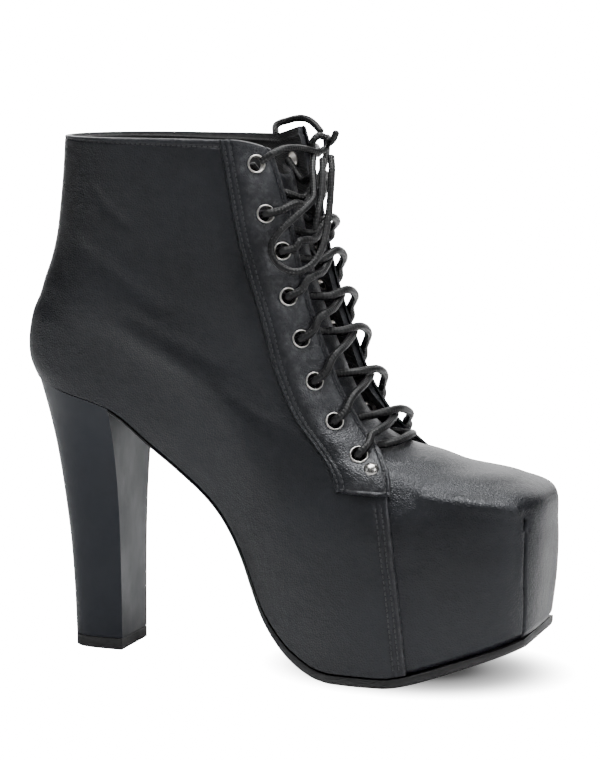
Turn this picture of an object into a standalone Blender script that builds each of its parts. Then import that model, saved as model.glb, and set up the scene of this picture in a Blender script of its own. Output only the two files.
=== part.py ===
"""Right-foot lace up ankle boot on a covered platform, with a tall block heel.

Metres. +X runs to the toe, +Y to the wearer's left (the inner side of a right boot), +Z up.
The origin is on the floor, at the middle of the flat spot under the ball of the foot.
"""

import math
from collections import namedtuple

import bmesh
import bpy
import numpy as np
from mathutils import Matrix, Vector

# Driving sizes of the last and the boot
TOE_REACH = 0.0775         # origin to the front of the toe
HEEL_REACH = 0.1705        # origin to the back of the counter
HEEL_HEIGHT = 0.130        # floor to the feather edge at the back of the seat
TOE_BOX_HEIGHT = 0.0868    # floor to the top edge of the toe
COLLAR_HEIGHT = 0.240      # floor to the top line of the shaft
TOE_SPRING = 0.0215        # rise of the outsole at the toe
FLAT_SPOT = 0.024          # length of the floor contact under the ball
SEAT_WIDTH = 0.060
WAIST_WIDTH = 0.058
BALL_WIDTH = 0.088
TOE_WIDTH = 0.074
COLLAR_WIDTH = 0.072
TOE_SWING = 0.003          # inward swing of the toe, to the inner side

# Wall, sole and heel
UPPER_WALL = 0.0020
QUARTER_STEP = 0.0010      # the quarters lie this proud over the vamp
OUTSOLE_FOREFOOT = 0.0055
OUTSOLE_TOE = 0.0042
OUTSOLE_ARCH = 0.0024
OUTSOLE_LIP = 0.0010       # the outsole stands this far outside the upper
OUTSOLE_EDGE_RISE = 0.0013  # the underside lifts this much towards its edge
PLATFORM_TOP = 0.048       # floor to the underside of the insole at the ball
INSOLE_THICKNESS = 0.0025
HEEL_BREAST = 0.123        # origin back to the front face of the heel
HEEL_FOOT_WIDTH = 0.029
HEEL_FOOT_LENGTH = 0.027
LIFT_THICKNESS = 0.0055
GAP = 0.0003               # clearance between pieces that touch

# Throat, facings, tongue and metal parts
THROAT_GAP = 0.044         # width that the facings' gap is a share of
THROAT_FOOT = 0.1095       # floor to the lower end of the throat
EYESTAY_THICKNESS = 0.0012
TONGUE_THICKNESS = 0.0020
TONGUE_HALF_WIDTH = 0.031
TONGUE_SINK = 0.0072       # depth of the tongue under the facings' inner face
EYELET_RADIUS = 0.0042
EYELET_BORE = 0.0032
EYELET_BARREL = 0.0037
EYELET_LIP = 0.0009
EYELET_FLARE = 0.0002      # the flange and the barrel's end slope by this much
EYELET_SIDES = 8
STUD_RADIUS = 0.0036
STUD_HEIGHT = 0.0024

# Lace
LACE_DIAMETER = 0.0032
LACE_SIDES = 8
LACE_BAR_HEIGHT = 0.1060   # floor to the bar over the vamp
LACE_BAR_HALF = 0.0195     # half the length of the bar
LACE_FIRST_HEIGHT = 0.1145  # floor to where the first strands cross their flaps

LATERAL = -1.0
MEDIAL = 1.0
SIDES = {"lateral": LATERAL, "medial": MEDIAL}

# Mesh fineness
BACK_COLUMNS = 15
VAMP_COLUMNS = 10
FOOT_ROWS = (0.0, 0.08, 0.16, 0.215, 0.265)  # shares up the wall; one row is the toe's top edge
LEG_ROWS = 11
PLAN_STATIONS = 37
DENSE = 181

# A ring runs round the boot from the back of the counter to the front, one side at a time.
# front_x, back_x: shares of the toe reach (ahead of the origin) or the heel reach (behind it).
# front_toe, front_leg: height of the front, as shares of the toe box and of the leg above it.
# back_rise: height of the back above the seat, as a share of the leg above the seat.
# follow: how far the ring dips with the sole line. leg: 0 on the foot, 1 at the collar.
# seat, waist, ball, toe: half-widths as shares of the named widths.
# back_round, front_round: squareness of the two ends, 2 is an ellipse.
Ring = namedtuple("Ring", "front_x front_toe front_leg back_x back_rise follow leg "
                          "seat waist ball toe back_round front_round front_length")
RINGS = (
    Ring(0.970, 0.000, 0.000, 0.975, 0.000, 1.00, 0.00, 0.97, 0.95, 0.965, 0.93, 2.3, 3.2, 0.62),
    Ring(0.996, 0.540, 0.000, 0.995, 0.064, 0.90, 0.00, 1.00, 1.06, 1.000, 0.99, 2.3, 3.3, 0.62),
    Ring(1.000, 0.790, 0.000, 1.000, 0.127, 0.75, 0.00, 1.02, 1.14, 1.000, 1.00, 2.2, 3.2, 0.62),
    Ring(0.985, 0.980, 0.000, 0.994, 0.200, 0.60, 0.00, 1.04, 1.20, 0.965, 0.94, 2.2, 3.0, 0.75),
    Ring(0.830, 1.000, 0.033, 0.984, 0.264, 0.45, 0.05, 1.05, 1.22, 0.880, 0.80, 2.2, 2.4, 1.10),
    Ring(0.530, 1.000, 0.061, 0.966, 0.336, 0.30, 0.15, 1.06, 1.21, 0.820, 0.64, 2.1, 2.1, 1.35),
    Ring(0.233, 1.000, 0.123, 0.951, 0.409, 0.20, 0.30, 1.05, 1.16, 0.840, 0.66, 2.1, 2.0, 1.40),
    Ring(0.021, 1.000, 0.228, 0.934, 0.491, 0.12, 0.48, 1.02, 1.10, 0.880, 0.72, 2.0, 2.0, 1.25),
    Ring(-0.070, 1.000, 0.406, 0.917, 0.591, 0.06, 0.66, 0.98, 1.04, 0.930, 0.78, 2.0, 2.0, 1.15),
    Ring(-0.141, 1.000, 0.621, 0.904, 0.727, 0.02, 0.82, 0.95, 1.00, 0.960, 0.84, 2.0, 2.0, 1.05),
    Ring(-0.182, 1.000, 0.817, 0.894, 0.864, 0.00, 0.93, 0.95, 1.00, 0.980, 0.88, 2.0, 2.0, 1.00),
    Ring(-0.217, 1.000, 1.000, 0.887, 1.000, 0.00, 1.00, 0.96, 1.00, 0.990, 0.90, 2.0, 2.0, 1.00),
)

# Underside of the outsole behind the flat spot: along is a share of the heel reach,
# rise a share of the heel height.
ARCH_LINE = (
    (1.000, 0.992), (0.867, 0.935), (0.722, 0.876), (0.598, 0.757), (0.521, 0.680), (0.452, 0.604),
    (0.410, 0.545), (0.369, 0.465), (0.335, 0.375), (0.305, 0.275), (0.276, 0.190), (0.235, 0.115),
    (0.194, 0.065), (0.147, 0.028), (0.107, 0.008),
)

# Underside of the insole: along as above (positive is ahead of the origin, a share of the
# toe reach), rise a share of the way from the platform's top to the heel height.
FOOTBED_LINE = (
    (-1.000, 1.000), (-0.867, 0.940), (-0.722, 0.862), (-0.587, 0.705), (-0.469, 0.540),
    (-0.352, 0.372), (-0.235, 0.210), (-0.117, 0.075), (0.000, 0.000), (0.529, 0.000), (1.000, 0.120),
)

# Half the throat gap in the wall: up is a share of the way from the throat's foot to the
# collar, half a share of half the named gap.
THROAT_LINE = (
    (0.00, 0.60), (0.015, 0.90), (0.04, 1.03), (0.08, 1.04), (0.33, 1.02), (0.52, 1.00), (0.68, 0.98),
    (0.83, 1.01), (0.93, 1.05), (1.00, 1.06), (1.30, 1.06),
)

# Half the gap between the facings, in the same shares. It opens wide at their feet.
EYESTAY_LINE = (
    (-0.240, 1.64), (-0.126, 1.62), (-0.064, 1.35), (-0.005, 1.09), (0.046, 0.99), (0.113, 0.95),
    (0.237, 0.95), (0.409, 0.955), (0.523, 0.94), (0.676, 0.92), (0.828, 0.96), (0.933, 1.01), (1.286, 1.02),
)

# Back and lower edge of the facing in the side view: along is a share of the heel reach (behind
# the origin) or of the toe reach (ahead of it), rise a share of the collar height.
EYESTAY_BACK = (
    (-0.394, 1.100), (-0.377, 0.992), (-0.358, 0.923), (-0.334, 0.835), (-0.300, 0.751), (-0.258, 0.660),
    (-0.224, 0.576), (-0.183, 0.514), (-0.149, 0.477), (-0.115, 0.445), (-0.082, 0.413), (-0.062, 0.385),
    (-0.054, 0.360),
)
EYESTAY_FOOT = ((0.192, 0.359), (0.196, 0.372), (0.222, 0.400))

# Eyelets in the side view, in the same shares, from the collar down, and the stud.
EYELETS = (
    (-0.301, 0.954), (-0.275, 0.863), (-0.236, 0.794), (-0.215, 0.710),
    (-0.179, 0.633), (-0.141, 0.555), (-0.083, 0.481), (-0.007, 0.423),
)
STUD = (0.072, 0.398)

# A lace strand from its eyelet to the next one up on the other side: across is a share of the
# way from the throat's middle to the facing's edge, rise a share of the way to the next eyelet,
# lift a share of the lace's diameter off the closed throat's surface, below zero under a facing.
LaceStep = namedtuple("LaceStep", "across rise lift")
LACE_STRAND = (
    LaceStep(-0.98, 0.14, 1.38),
    LaceStep(-0.84, 0.20, 1.55),
    LaceStep(-0.56, 0.32, 1.50),
    LaceStep(0.00, 0.52, 0.90),
    LaceStep(0.46, 0.70, 0.10),
    LaceStep(0.80, 0.84, -1.05),
    LaceStep(1.08, 0.93, -1.25),
)

# The bow, in metres: the knot over the top of the throat, a loop over each flap and two ends.
CordPoint = namedtuple("CordPoint", "x y z")
BOW = {
    "lace_knot": (
        CordPoint(-0.0454, -0.0330, 0.2308), CordPoint(-0.0414, -0.0312, 0.2338),
        CordPoint(-0.0377, -0.0260, 0.2359), CordPoint(-0.0346, -0.0190, 0.2361),
        CordPoint(-0.0319, -0.0110, 0.2349), CordPoint(-0.0296, -0.0045, 0.2338),
        CordPoint(-0.0270, -0.0005, 0.2355), CordPoint(-0.0272, 0.0010, 0.2392),
        CordPoint(-0.0305, -0.0005, 0.2408), CordPoint(-0.0328, -0.0025, 0.2380),
        CordPoint(-0.0335, 0.0010, 0.2340), CordPoint(-0.0340, 0.0080, 0.2322),
        CordPoint(-0.0365, 0.0150, 0.2330), CordPoint(-0.0400, 0.0225, 0.2345),
        CordPoint(-0.0435, 0.0295, 0.2345),
    ),
    "lace_loop_lateral": (
        CordPoint(-0.0305, -0.0079, 0.2319), CordPoint(-0.0290, -0.0130, 0.2258),
        CordPoint(-0.0271, -0.0170, 0.2198), CordPoint(-0.0259, -0.0210, 0.2143),
        CordPoint(-0.0274, -0.0260, 0.2107), CordPoint(-0.0312, -0.0310, 0.2061),
        CordPoint(-0.0358, -0.0352, 0.2010), CordPoint(-0.0391, -0.0378, 0.1950),
        CordPoint(-0.0381, -0.0390, 0.1894), CordPoint(-0.0336, -0.0387, 0.1847),
        CordPoint(-0.0275, -0.0360, 0.1831), CordPoint(-0.0224, -0.0320, 0.1862),
        CordPoint(-0.0196, -0.0270, 0.1929), CordPoint(-0.0192, -0.0220, 0.2009),
        CordPoint(-0.0195, -0.0175, 0.2098), CordPoint(-0.0200, -0.0140, 0.2189),
        CordPoint(-0.0208, -0.0105, 0.2262), CordPoint(-0.0226, -0.0064, 0.2318),
    ),
    "lace_loop_medial": (
        CordPoint(-0.0312, 0.0040, 0.2425), CordPoint(-0.0348, 0.0068, 0.2452),
        CordPoint(-0.0386, 0.0095, 0.2472), CordPoint(-0.0432, 0.0125, 0.2480),
        CordPoint(-0.0484, 0.0170, 0.2475), CordPoint(-0.0541, 0.0225, 0.2463),
        CordPoint(-0.0602, 0.0290, 0.2449), CordPoint(-0.0651, 0.0365, 0.2425),
        CordPoint(-0.0662, 0.0415, 0.2370), CordPoint(-0.0640, 0.0425, 0.2290),
        CordPoint(-0.0590, 0.0418, 0.2215), CordPoint(-0.0520, 0.0405, 0.2165),
        CordPoint(-0.0445, 0.0375, 0.2190), CordPoint(-0.0405, 0.0335, 0.2248),
        CordPoint(-0.0371, 0.0280, 0.2305), CordPoint(-0.0345, 0.0215, 0.2360),
        CordPoint(-0.0325, 0.0150, 0.2385), CordPoint(-0.0300, 0.0095, 0.2395),
        CordPoint(-0.0290, 0.0050, 0.2388),
    ),
    "lace_end_lateral": (
        CordPoint(-0.0264, -0.0072, 0.2306), CordPoint(-0.0248, -0.0115, 0.2245),
        CordPoint(-0.0238, -0.0155, 0.2180), CordPoint(-0.0232, -0.0188, 0.2125),
        CordPoint(-0.0233, -0.0222, 0.2070), CordPoint(-0.0238, -0.0238, 0.2013),
    ),
    "lace_end_medial": (
        CordPoint(-0.0252, -0.0015, 0.2377), CordPoint(-0.0226, -0.0038, 0.2394),
        CordPoint(-0.0210, -0.0042, 0.2425),
    ),
}

# The top line drops at the outer facing's corner and is pulled up at the inner one.
CORNER_DROP = 0.0075
CORNER_LIFT = 0.0060
CORNER_START = 0.72        # share of the half girth where the corner begins

# The heel block: rise is a share of its height, and the rest are shares of its foot and seat.
HeelSection = namedtuple("HeelSection", "rise spread back")
HEEL_SECTIONS = (
    HeelSection(0.00, 0.00, 0.00),
    HeelSection(0.18, 0.02, 0.05),
    HeelSection(0.36, 0.06, 0.14),
    HeelSection(0.54, 0.16, 0.30),
    HeelSection(0.72, 0.36, 0.50),
    HeelSection(0.86, 0.62, 0.72),
    HeelSection(1.00, 1.00, 1.00),
)


def clear_scene():
    """Removes whatever the file held."""
    for thing in list(bpy.data.objects):
        bpy.data.objects.remove(thing, do_unlink=True)


def along(share):
    """Distance from the origin for a share of the toe reach (ahead) or the heel reach (behind)."""
    return share * (TOE_REACH if share > 0 else HEEL_REACH)


def smooth_through(x, points):
    """A smooth curve through (x, y) points: cubic pieces whose slopes never overshoot."""
    xs, ys = np.array(points, float).T
    order = np.argsort(xs)
    xs, ys = xs[order], ys[order]
    steps = np.diff(ys) / np.diff(xs)
    slopes = np.empty_like(ys)
    slopes[1:-1] = np.where(steps[:-1] * steps[1:] > 0,
                            2 * steps[:-1] * steps[1:] / np.where(steps[:-1] + steps[1:] == 0, 1,
                                                                  steps[:-1] + steps[1:]), 0)
    slopes[0], slopes[-1] = steps[0], steps[-1]
    x = np.clip(np.asarray(x, float), xs[0], xs[-1])
    i = np.clip(np.searchsorted(xs, x) - 1, 0, len(xs) - 2)
    h = xs[i + 1] - xs[i]
    t = (x - xs[i]) / h
    return ((2 * t**3 - 3 * t**2 + 1) * ys[i] + (t**3 - 2 * t**2 + t) * h * slopes[i]
            + (3 * t**2 - 2 * t**3) * ys[i + 1] + (t**3 - t**2) * h * slopes[i + 1])


def ground_line(x):
    """Underside of the outsole: flat under the ball, up to the toe and up the arch to the seat."""
    x = np.asarray(x, float)
    half_flat = FLAT_SPOT / 2
    spring_exponent = 1.15
    ahead = np.clip((x - half_flat) / (TOE_REACH - half_flat), 0, None)
    arch = [(-a * HEEL_REACH, r * HEEL_HEIGHT) for a, r in ARCH_LINE] + [(-half_flat, 0.0)]
    behind = smooth_through(np.minimum(x, -half_flat), arch)
    return np.where(x > 0, TOE_SPRING * ahead**spring_exponent, behind)


def slant(x):
    """Upright length of one unit measured square to the sole line."""
    slope = (ground_line(x + 0.002) - ground_line(x - 0.002)) / 0.004
    return np.sqrt(1 + slope**2)


def outsole_thickness(x):
    """Upright thickness of the outsole: thick under the forefoot, thin and slanting on the arch."""
    x = np.asarray(x, float)
    blend = np.clip((x / HEEL_REACH + 0.36) / 0.22, 0, 1)
    blend = blend * blend * (3 - 2 * blend)
    forefoot = OUTSOLE_FOREFOOT + (OUTSOLE_TOE - OUTSOLE_FOREFOOT) * np.clip(x / TOE_REACH, 0, 1)
    return (OUTSOLE_ARCH + (forefoot - OUTSOLE_ARCH) * blend) * slant(x)


def feather_line(x):
    """Lower edge of the upper: the top of the outsole and of the heel seat."""
    return ground_line(x) + outsole_thickness(x)


def footbed_line(x):
    """Underside of the insole, never below the feather line."""
    points = [(along(a), PLATFORM_TOP + r * (HEEL_HEIGHT - PLATFORM_TOP)) for a, r in FOOTBED_LINE]
    return np.maximum(smooth_through(x, points), feather_line(x))


def centre_line(x):
    """Sideways swing of the boot's middle, from the ball to the toe and a little at the waist."""
    x = np.asarray(x, float)
    toe = np.clip(x / TOE_REACH, 0, None)
    waist = np.clip(-x / HEEL_REACH, 0, 1)
    return TOE_SWING * (toe**2 + 0.35 * np.sin(math.pi * waist) ** 2)


def ring_ends(ring):
    """Front and back of a ring: (front x, back x)."""
    return along(ring.front_x), -ring.back_x * HEEL_REACH


def ring_half_width(ring, x):
    """Half-width of a ring at x, with its two rounded ends."""
    front, back = ring_ends(ring)
    length = front - back
    s = np.clip((np.asarray(x, float) - back) / length, 0, 1)
    sizes = [(size * (1 - ring.leg) + COLLAR_WIDTH * ring.leg) / 2
             for size in (SEAT_WIDTH, WAIST_WIDTH, BALL_WIDTH, TOE_WIDTH)]
    seat, waist, ball, toe = (size * share for size, share in
                              zip(sizes, (ring.seat, ring.waist, ring.ball, ring.toe)))
    stations = [(0.0, seat), (0.16, seat), (0.40, waist), (0.69, ball), (0.95, toe), (1.0, toe)]
    body = smooth_through(s, stations)
    back_length = seat * 1.05
    front_length = toe * ring.front_length * 1.25
    back_end = np.clip(1 - s * length / back_length, 0, 1)
    front_end = np.clip(1 - (1 - s) * length / front_length, 0, 1)
    rounding = ((1 - back_end**ring.back_round) ** (1 / ring.back_round)
                * (1 - front_end**ring.front_round) ** (1 / ring.front_round))
    return body * rounding


def ring_height(ring, x):
    """Height of a ring at x: a straight line between its ends that dips with the sole line."""
    front, back = ring_ends(ring)
    leg = COLLAR_HEIGHT - TOE_BOX_HEIGHT
    front_z = ring.front_toe * TOE_BOX_HEIGHT + ring.front_leg * leg
    if ring.front_toe == 0:
        front_z = float(feather_line(front))
    back_z = float(feather_line(back)) * (1 - ring.back_rise) + COLLAR_HEIGHT * ring.back_rise
    share = (x - back) / (front - back)
    front_rest = front_z - ring.follow * float(feather_line(front))
    back_rest = back_z - ring.follow * float(feather_line(back))
    return ring.follow * feather_line(x) + back_rest + share * (front_rest - back_rest)


def seam_line(z):
    """Where the quarter's front edge runs down the side, ahead of the origin."""
    return along(0.175) + (along(0.31) - along(0.175)) * (1 - np.clip(z / (0.36 * COLLAR_HEIGHT), 0, 1))


def ring_half(ring, shares):
    """Points of half a ring at the given shares of its girth, and the seam's share of it."""
    front, back = ring_ends(ring)
    turn = np.linspace(0, math.pi, 600)
    x = back + (front - back) * (1 - np.cos(turn)) / 2
    points = np.stack([x, ring_half_width(ring, x), ring_height(ring, x)], 1)
    girth = np.concatenate([[0], np.cumsum(np.linalg.norm(np.diff(points, axis=0), axis=1))])
    girth /= girth[-1]
    at_seam = float(np.interp(0, x - seam_line(points[:, 2]), girth))
    return np.stack([np.interp(shares, girth, points[:, k]) for k in range(3)], 1), at_seam


def boot_grid():
    """Dense half surface of the boot, [row up the wall][column from back to front][x, half-width, z].

    Each column is a smooth curve through the rings, at even steps of its own length. The second
    value is the share of the girth where the quarter seam runs, for each row.
    """
    shares = np.linspace(0, 1, DENSE)
    halves, seams = zip(*(ring_half(ring, shares) for ring in RINGS))
    rings = np.array(halves)
    steps = np.linalg.norm(np.diff(rings, axis=0), axis=2)
    run = np.concatenate([np.zeros((1, DENSE)), np.cumsum(steps, axis=0)])
    slopes = np.empty_like(rings)
    gaps = np.diff(run, axis=0)[..., None]
    chords = np.diff(rings, axis=0) / gaps
    slopes[1:-1] = (chords[:-1] * gaps[1:] + chords[1:] * gaps[:-1]) / (gaps[:-1] + gaps[1:])
    slopes[0] = chords[0]
    slopes[-1] = chords[-1]
    rows = np.linspace(0, 1, DENSE)
    grid = np.empty((DENSE, DENSE, 3))
    for j in range(DENSE):
        at = rows * run[-1, j]
        i = np.clip(np.searchsorted(run[:, j], at, side="right") - 1, 0, len(RINGS) - 2)
        h = (run[i + 1, j] - run[i, j])[:, None]
        t = ((at - run[i, j])[:, None]) / h
        grid[:, j] = ((2 * t**3 - 3 * t**2 + 1) * rings[i, j] + (t**3 - 2 * t**2 + t) * h * slopes[i, j]
                      + (3 * t**2 - 2 * t**3) * rings[i + 1, j] + (t**3 - t**2) * h * slopes[i + 1, j])
    grid[:, 0, 1] = 0
    grid[:, -1, 1] = 0
    return grid, seams


GRID, RING_SEAMS = boot_grid()
SEAM_SHARE = float(np.mean(RING_SEAMS[:4]))


def side_surface(side):
    """Dense surface points and outward normals of one side of the boot."""
    points = GRID.copy()
    share = np.linspace(0, 1, DENSE)
    corner = np.clip((share - CORNER_START) / (1 - CORNER_START), 0, 1)
    top = np.linspace(0, 1, DENSE) ** 6
    rise = -CORNER_DROP * corner**1.6 * 2.2 if side == LATERAL else CORNER_LIFT * corner * 1.6
    points[:, :, 2] += top[:, None] * np.clip(rise, -CORNER_DROP * 1.6, CORNER_LIFT)[None, :]
    points[:, :, 1] = centre_line(points[:, :, 0]) + side * points[:, :, 1]
    up = np.gradient(points, axis=0)
    forward = np.gradient(points, axis=1)
    normals = np.cross(forward, up) * -side
    middle = normals[:, [0, -1], 1]
    normals[:, [0, -1], 1] = middle * 0
    normals /= np.linalg.norm(normals, axis=2)[..., None]
    return points, normals


SURFACE = {side: side_surface(side) for side in (LATERAL, MEDIAL)}


def sample(side, row, share, out=0.0):
    """Points on one side at shares up the wall and round the girth, moved out along the normal."""
    points, normals = SURFACE[side]
    r = np.clip(np.asarray(row, float), 0, 1) * (DENSE - 1)
    c = np.clip(np.asarray(share, float), 0, 1) * (DENSE - 1)
    i = np.clip(np.floor(r).astype(int), 0, DENSE - 2)
    j = np.clip(np.floor(c).astype(int), 0, DENSE - 2)
    fr, fc = (r - i)[..., None], (c - j)[..., None]

    def mix(values):
        return ((values[i, j] * (1 - fr) + values[i + 1, j] * fr) * (1 - fc)
                + (values[i, j + 1] * (1 - fr) + values[i + 1, j + 1] * fr) * fc)

    normal = mix(normals)
    normal /= np.linalg.norm(normal, axis=-1)[..., None]
    return mix(points) + normal * np.asarray(out, float)[..., None], normal


def place_in_side_view(side, x, z):
    """The surface point and normal of one side whose side view is at (x, z)."""
    points, normals = SURFACE[side]
    miss = (points[..., 0] - x) ** 2 + (points[..., 2] - z) ** 2
    i, j = np.unravel_index(int(np.argmin(miss)), miss.shape)
    near, normal = points[i, j], normals[i, j]
    y = near[1] - (normal[0] * (x - near[0]) + normal[2] * (z - near[2])) / normal[1]
    return Vector((x, y, z)), Vector(normal)


def make_object(name, points, faces, colour, roughness, metallic=0.0, smooth_angle=40):
    """A named object with its own material from points and faces."""
    mesh = bpy.data.meshes.new(name)
    mesh.from_pydata([tuple(map(float, p)) for p in points], [], faces)
    mesh.validate()
    form = bmesh.new()
    form.from_mesh(mesh)
    bmesh.ops.remove_doubles(form, verts=form.verts, dist=1e-6)
    bmesh.ops.dissolve_degenerate(form, edges=form.edges, dist=1e-7)
    bmesh.ops.recalc_face_normals(form, faces=form.faces)
    if form.calc_volume(signed=True) < 0:
        bmesh.ops.reverse_faces(form, faces=form.faces)
    form.to_mesh(mesh)
    form.free()
    mesh.shade_smooth()
    mesh.set_sharp_from_angle(angle=math.radians(smooth_angle))
    thing = bpy.data.objects.new(name, mesh)
    bpy.context.scene.collection.objects.link(thing)
    material = bpy.data.materials.new(name)
    material.use_nodes = True
    shader = material.node_tree.nodes["Principled BSDF"]
    shader.inputs["Base Color"].default_value = (*colour, 1.0)
    shader.inputs["Roughness"].default_value = roughness
    shader.inputs["Metallic"].default_value = metallic
    mesh.materials.append(material)
    return thing


def cut(thing, cutter, operation="DIFFERENCE"):
    """Applies an exact Boolean of a cutter to a thing and removes the cutter."""
    modifier = thing.modifiers.new("cut", "BOOLEAN")
    modifier.operation = operation
    modifier.solver = "EXACT"
    modifier.object = cutter
    depsgraph = bpy.context.evaluated_depsgraph_get()
    mesh = bpy.data.meshes.new_from_object(thing.evaluated_get(depsgraph))
    thing.modifiers.clear()
    thing.data = mesh
    bpy.data.objects.remove(cutter, do_unlink=True)


BLACK_LEATHER = ((0.012, 0.013, 0.015), 0.42)
HEEL_BLACK = ((0.016, 0.017, 0.020), 0.30)
SOLE_BLACK = ((0.010, 0.010, 0.011), 0.55)
LINING = ((0.030, 0.029, 0.028), 0.80)
LACE_BLACK = ((0.014, 0.014, 0.016), 0.50)
NICKEL = ((0.62, 0.60, 0.57), 0.22, 1.0)


def grid_faces(rows, columns, first=0, wrap=False):
    """Quads of a grid of points stored row by row."""
    span = columns if wrap else columns - 1
    return [(first + r * columns + c, first + r * columns + (c + 1) % columns,
             first + (r + 1) * columns + (c + 1) % columns, first + (r + 1) * columns + c)
            for r in range(rows - 1) for c in range(span)]


def sheet_faces(rows, columns):
    """Faces of a closed sheet: an outer and an inner grid of points, and the rim between them."""
    count = rows * columns
    faces = grid_faces(rows, columns)
    faces += [tuple(reversed(f)) for f in grid_faces(rows, columns, count)]
    last = rows - 1
    rim = [(0, c) for c in range(columns)]
    rim += [(r, columns - 1) for r in range(1, rows)]
    rim += [(last, c) for c in range(columns - 2, -1, -1)]
    rim += [(r, 0) for r in range(last - 1, 0, -1)]
    loop = [r * columns + c for r, c in rim]
    following = loop[1:] + loop[:1]
    return faces + [(a, b, count + b, count + a) for a, b in zip(loop, following)]


def girth_shares():
    """Shares of the half girth for the wall's columns, with two close ones at the quarter seam."""
    step = 0.004
    back = np.linspace(0, SEAM_SHARE, BACK_COLUMNS)
    front = np.linspace(SEAM_SHARE + step, 1, VAMP_COLUMNS)
    return np.concatenate([back, front])


def wall_skin(rows, inset):
    """One closed-round skin of the wall: rows from feather edge to collar, at an inset inwards."""
    shares = girth_shares()
    quarter = np.where(shares <= SEAM_SHARE + 1e-9, QUARTER_STEP, 0.0)
    fade = 1 - np.clip((rows - 0.42) / 0.10, 0, 1)
    skins = []
    for side in (LATERAL, MEDIAL):
        row, share = np.meshgrid(rows, shares, indexing="ij")
        proud = quarter[None, :] * np.where(share < 0.5, 1.0, fade[:, None])
        out = proud - inset if inset == 0 else -inset + 0 * proud
        skins.append(sample(side, row, share, out)[0])
    lateral, medial = skins
    return np.concatenate([lateral, medial[:, -2:0:-1]], axis=1)


def build_upper():
    """The hollow wall of vamp, quarters and shaft, before its throat and eyelet holes are cut."""
    rows = np.concatenate([FOOT_ROWS, np.linspace(1 / 3, 1, LEG_ROWS)])
    outer = wall_skin(rows, 0.0)
    inner = wall_skin(rows, UPPER_WALL)
    inner[-1, :, 2] = outer[-1, :, 2]
    for skin in (outer, inner):
        skin[0, :, 2] = feather_line(skin[0, :, 0]) + GAP * slant(skin[0, :, 0])
    around = outer.shape[1]
    points = np.concatenate([outer.reshape(-1, 3), inner.reshape(-1, 3)])
    count = len(rows) * around
    faces = grid_faces(len(rows), around, 0, True)
    faces += [tuple(reversed(f)) for f in grid_faces(len(rows), around, count, True)]
    for r in (0, len(rows) - 1):
        for c in range(around):
            n = (c + 1) % around
            faces.append((r * around + c, r * around + n, count + r * around + n, count + r * around + c))
    return make_object("upper", points, faces, *BLACK_LEATHER)


def front_view_prism(name, line, low, high, x_from, x_to):
    """A cutter along X whose front view is a symmetrical slot with half-widths from a table."""
    rise = COLLAR_HEIGHT - THROAT_FOOT
    shares = np.linspace(low, high, 28)
    half = smooth_through(shares, line) * THROAT_GAP / 2
    z = THROAT_FOOT + shares * rise
    outline = [(h, v) for h, v in zip(half, z)] + [(-h, v) for h, v in zip(half[::-1], z[::-1])]
    count = len(outline)
    points = [(x_from, y, v) for y, v in outline] + [(x_to, y, v) for y, v in outline]
    faces = [tuple(range(count)), tuple(range(2 * count - 1, count - 1, -1))]
    faces += [(i, (i + 1) % count, count + (i + 1) % count, count + i) for i in range(count)]
    cutter = make_object(name, points, faces, *SOLE_BLACK)
    cutter.hide_render = True
    cutter.display_type = "WIRE"
    return cutter


def side_view_prism(name, outline, side):
    """A form along Y on one side of the boot with a side-view outline."""
    far = side * BALL_WIDTH
    near = side * 0.002
    count = len(outline)
    points = [(x, near, z) for x, z in outline] + [(x, far, z) for x, z in outline]
    faces = [tuple(range(count)), tuple(range(2 * count - 1, count - 1, -1))]
    faces += [(i, (i + 1) % count, count + (i + 1) % count, count + i) for i in range(count)]
    return make_object(name, points, faces, *SOLE_BLACK)


def side_view(points):
    """Side-view points (x, z) from (along share, rise share) rows."""
    return [(along(a), r * COLLAR_HEIGHT) for a, r in points]


def build_eyestay(name, side):
    """A facing: the shell just outside the quarter, cut to its outline and to the throat's gap."""
    low = GAP + QUARTER_STEP
    rows = np.linspace(0.28, 1, 16)
    shares = np.linspace(0.62, 0.97, 10)
    row, share = np.meshgrid(rows, shares, indexing="ij")
    skins = [sample(side, row, share, np.full(row.shape, low + lift))[0]
             for lift in (EYESTAY_THICKNESS, 0.0)]
    points = np.concatenate([skin.reshape(-1, 3) for skin in skins])
    shell = make_object(name, points, sheet_faces(len(rows), len(shares)), *BLACK_LEATHER)
    outline = side_view(EYESTAY_BACK) + side_view(EYESTAY_FOOT)
    outline += [(along(0.9), 0.5 * COLLAR_HEIGHT), (along(0.9), 1.1 * COLLAR_HEIGHT)]
    cut(shell, side_view_prism("facing_outline", outline, side), "INTERSECT")
    cut(shell, front_view_prism("facing_gap", EYESTAY_LINE, -0.24, 1.28, -0.6 * HEEL_REACH, 2 * TOE_REACH))
    return shell


def eyelet_places(side):
    """Centre and normal of each eyelet on one side, from the collar down."""
    return [place_in_side_view(side, x, z) for x, z in side_view(EYELETS)]


def turn_about(centre, normal):
    """A matrix that puts a turned piece's axis on the normal at a place."""
    return Matrix.Translation(centre) @ normal.to_track_quat("Z", "Y").to_matrix().to_4x4()


def turned(name, profile, centre, normal, finish, segments=EYELET_SIDES):
    """A turned ring or dome: (radius, height) profile spun about the normal."""
    points, faces = [], []
    count = len(profile)
    matrix = turn_about(centre, normal)
    for k in range(segments):
        angle = 2 * math.pi * k / segments
        for radius, height in profile:
            points.append(matrix @ Vector((radius * math.cos(angle), radius * math.sin(angle), height)))
    for k in range(segments):
        n = (k + 1) % segments
        for i in range(count):
            j = (i + 1) % count
            faces.append((k * count + i, n * count + i, n * count + j, k * count + j))
    return make_object(name, points, faces, *finish)


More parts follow.
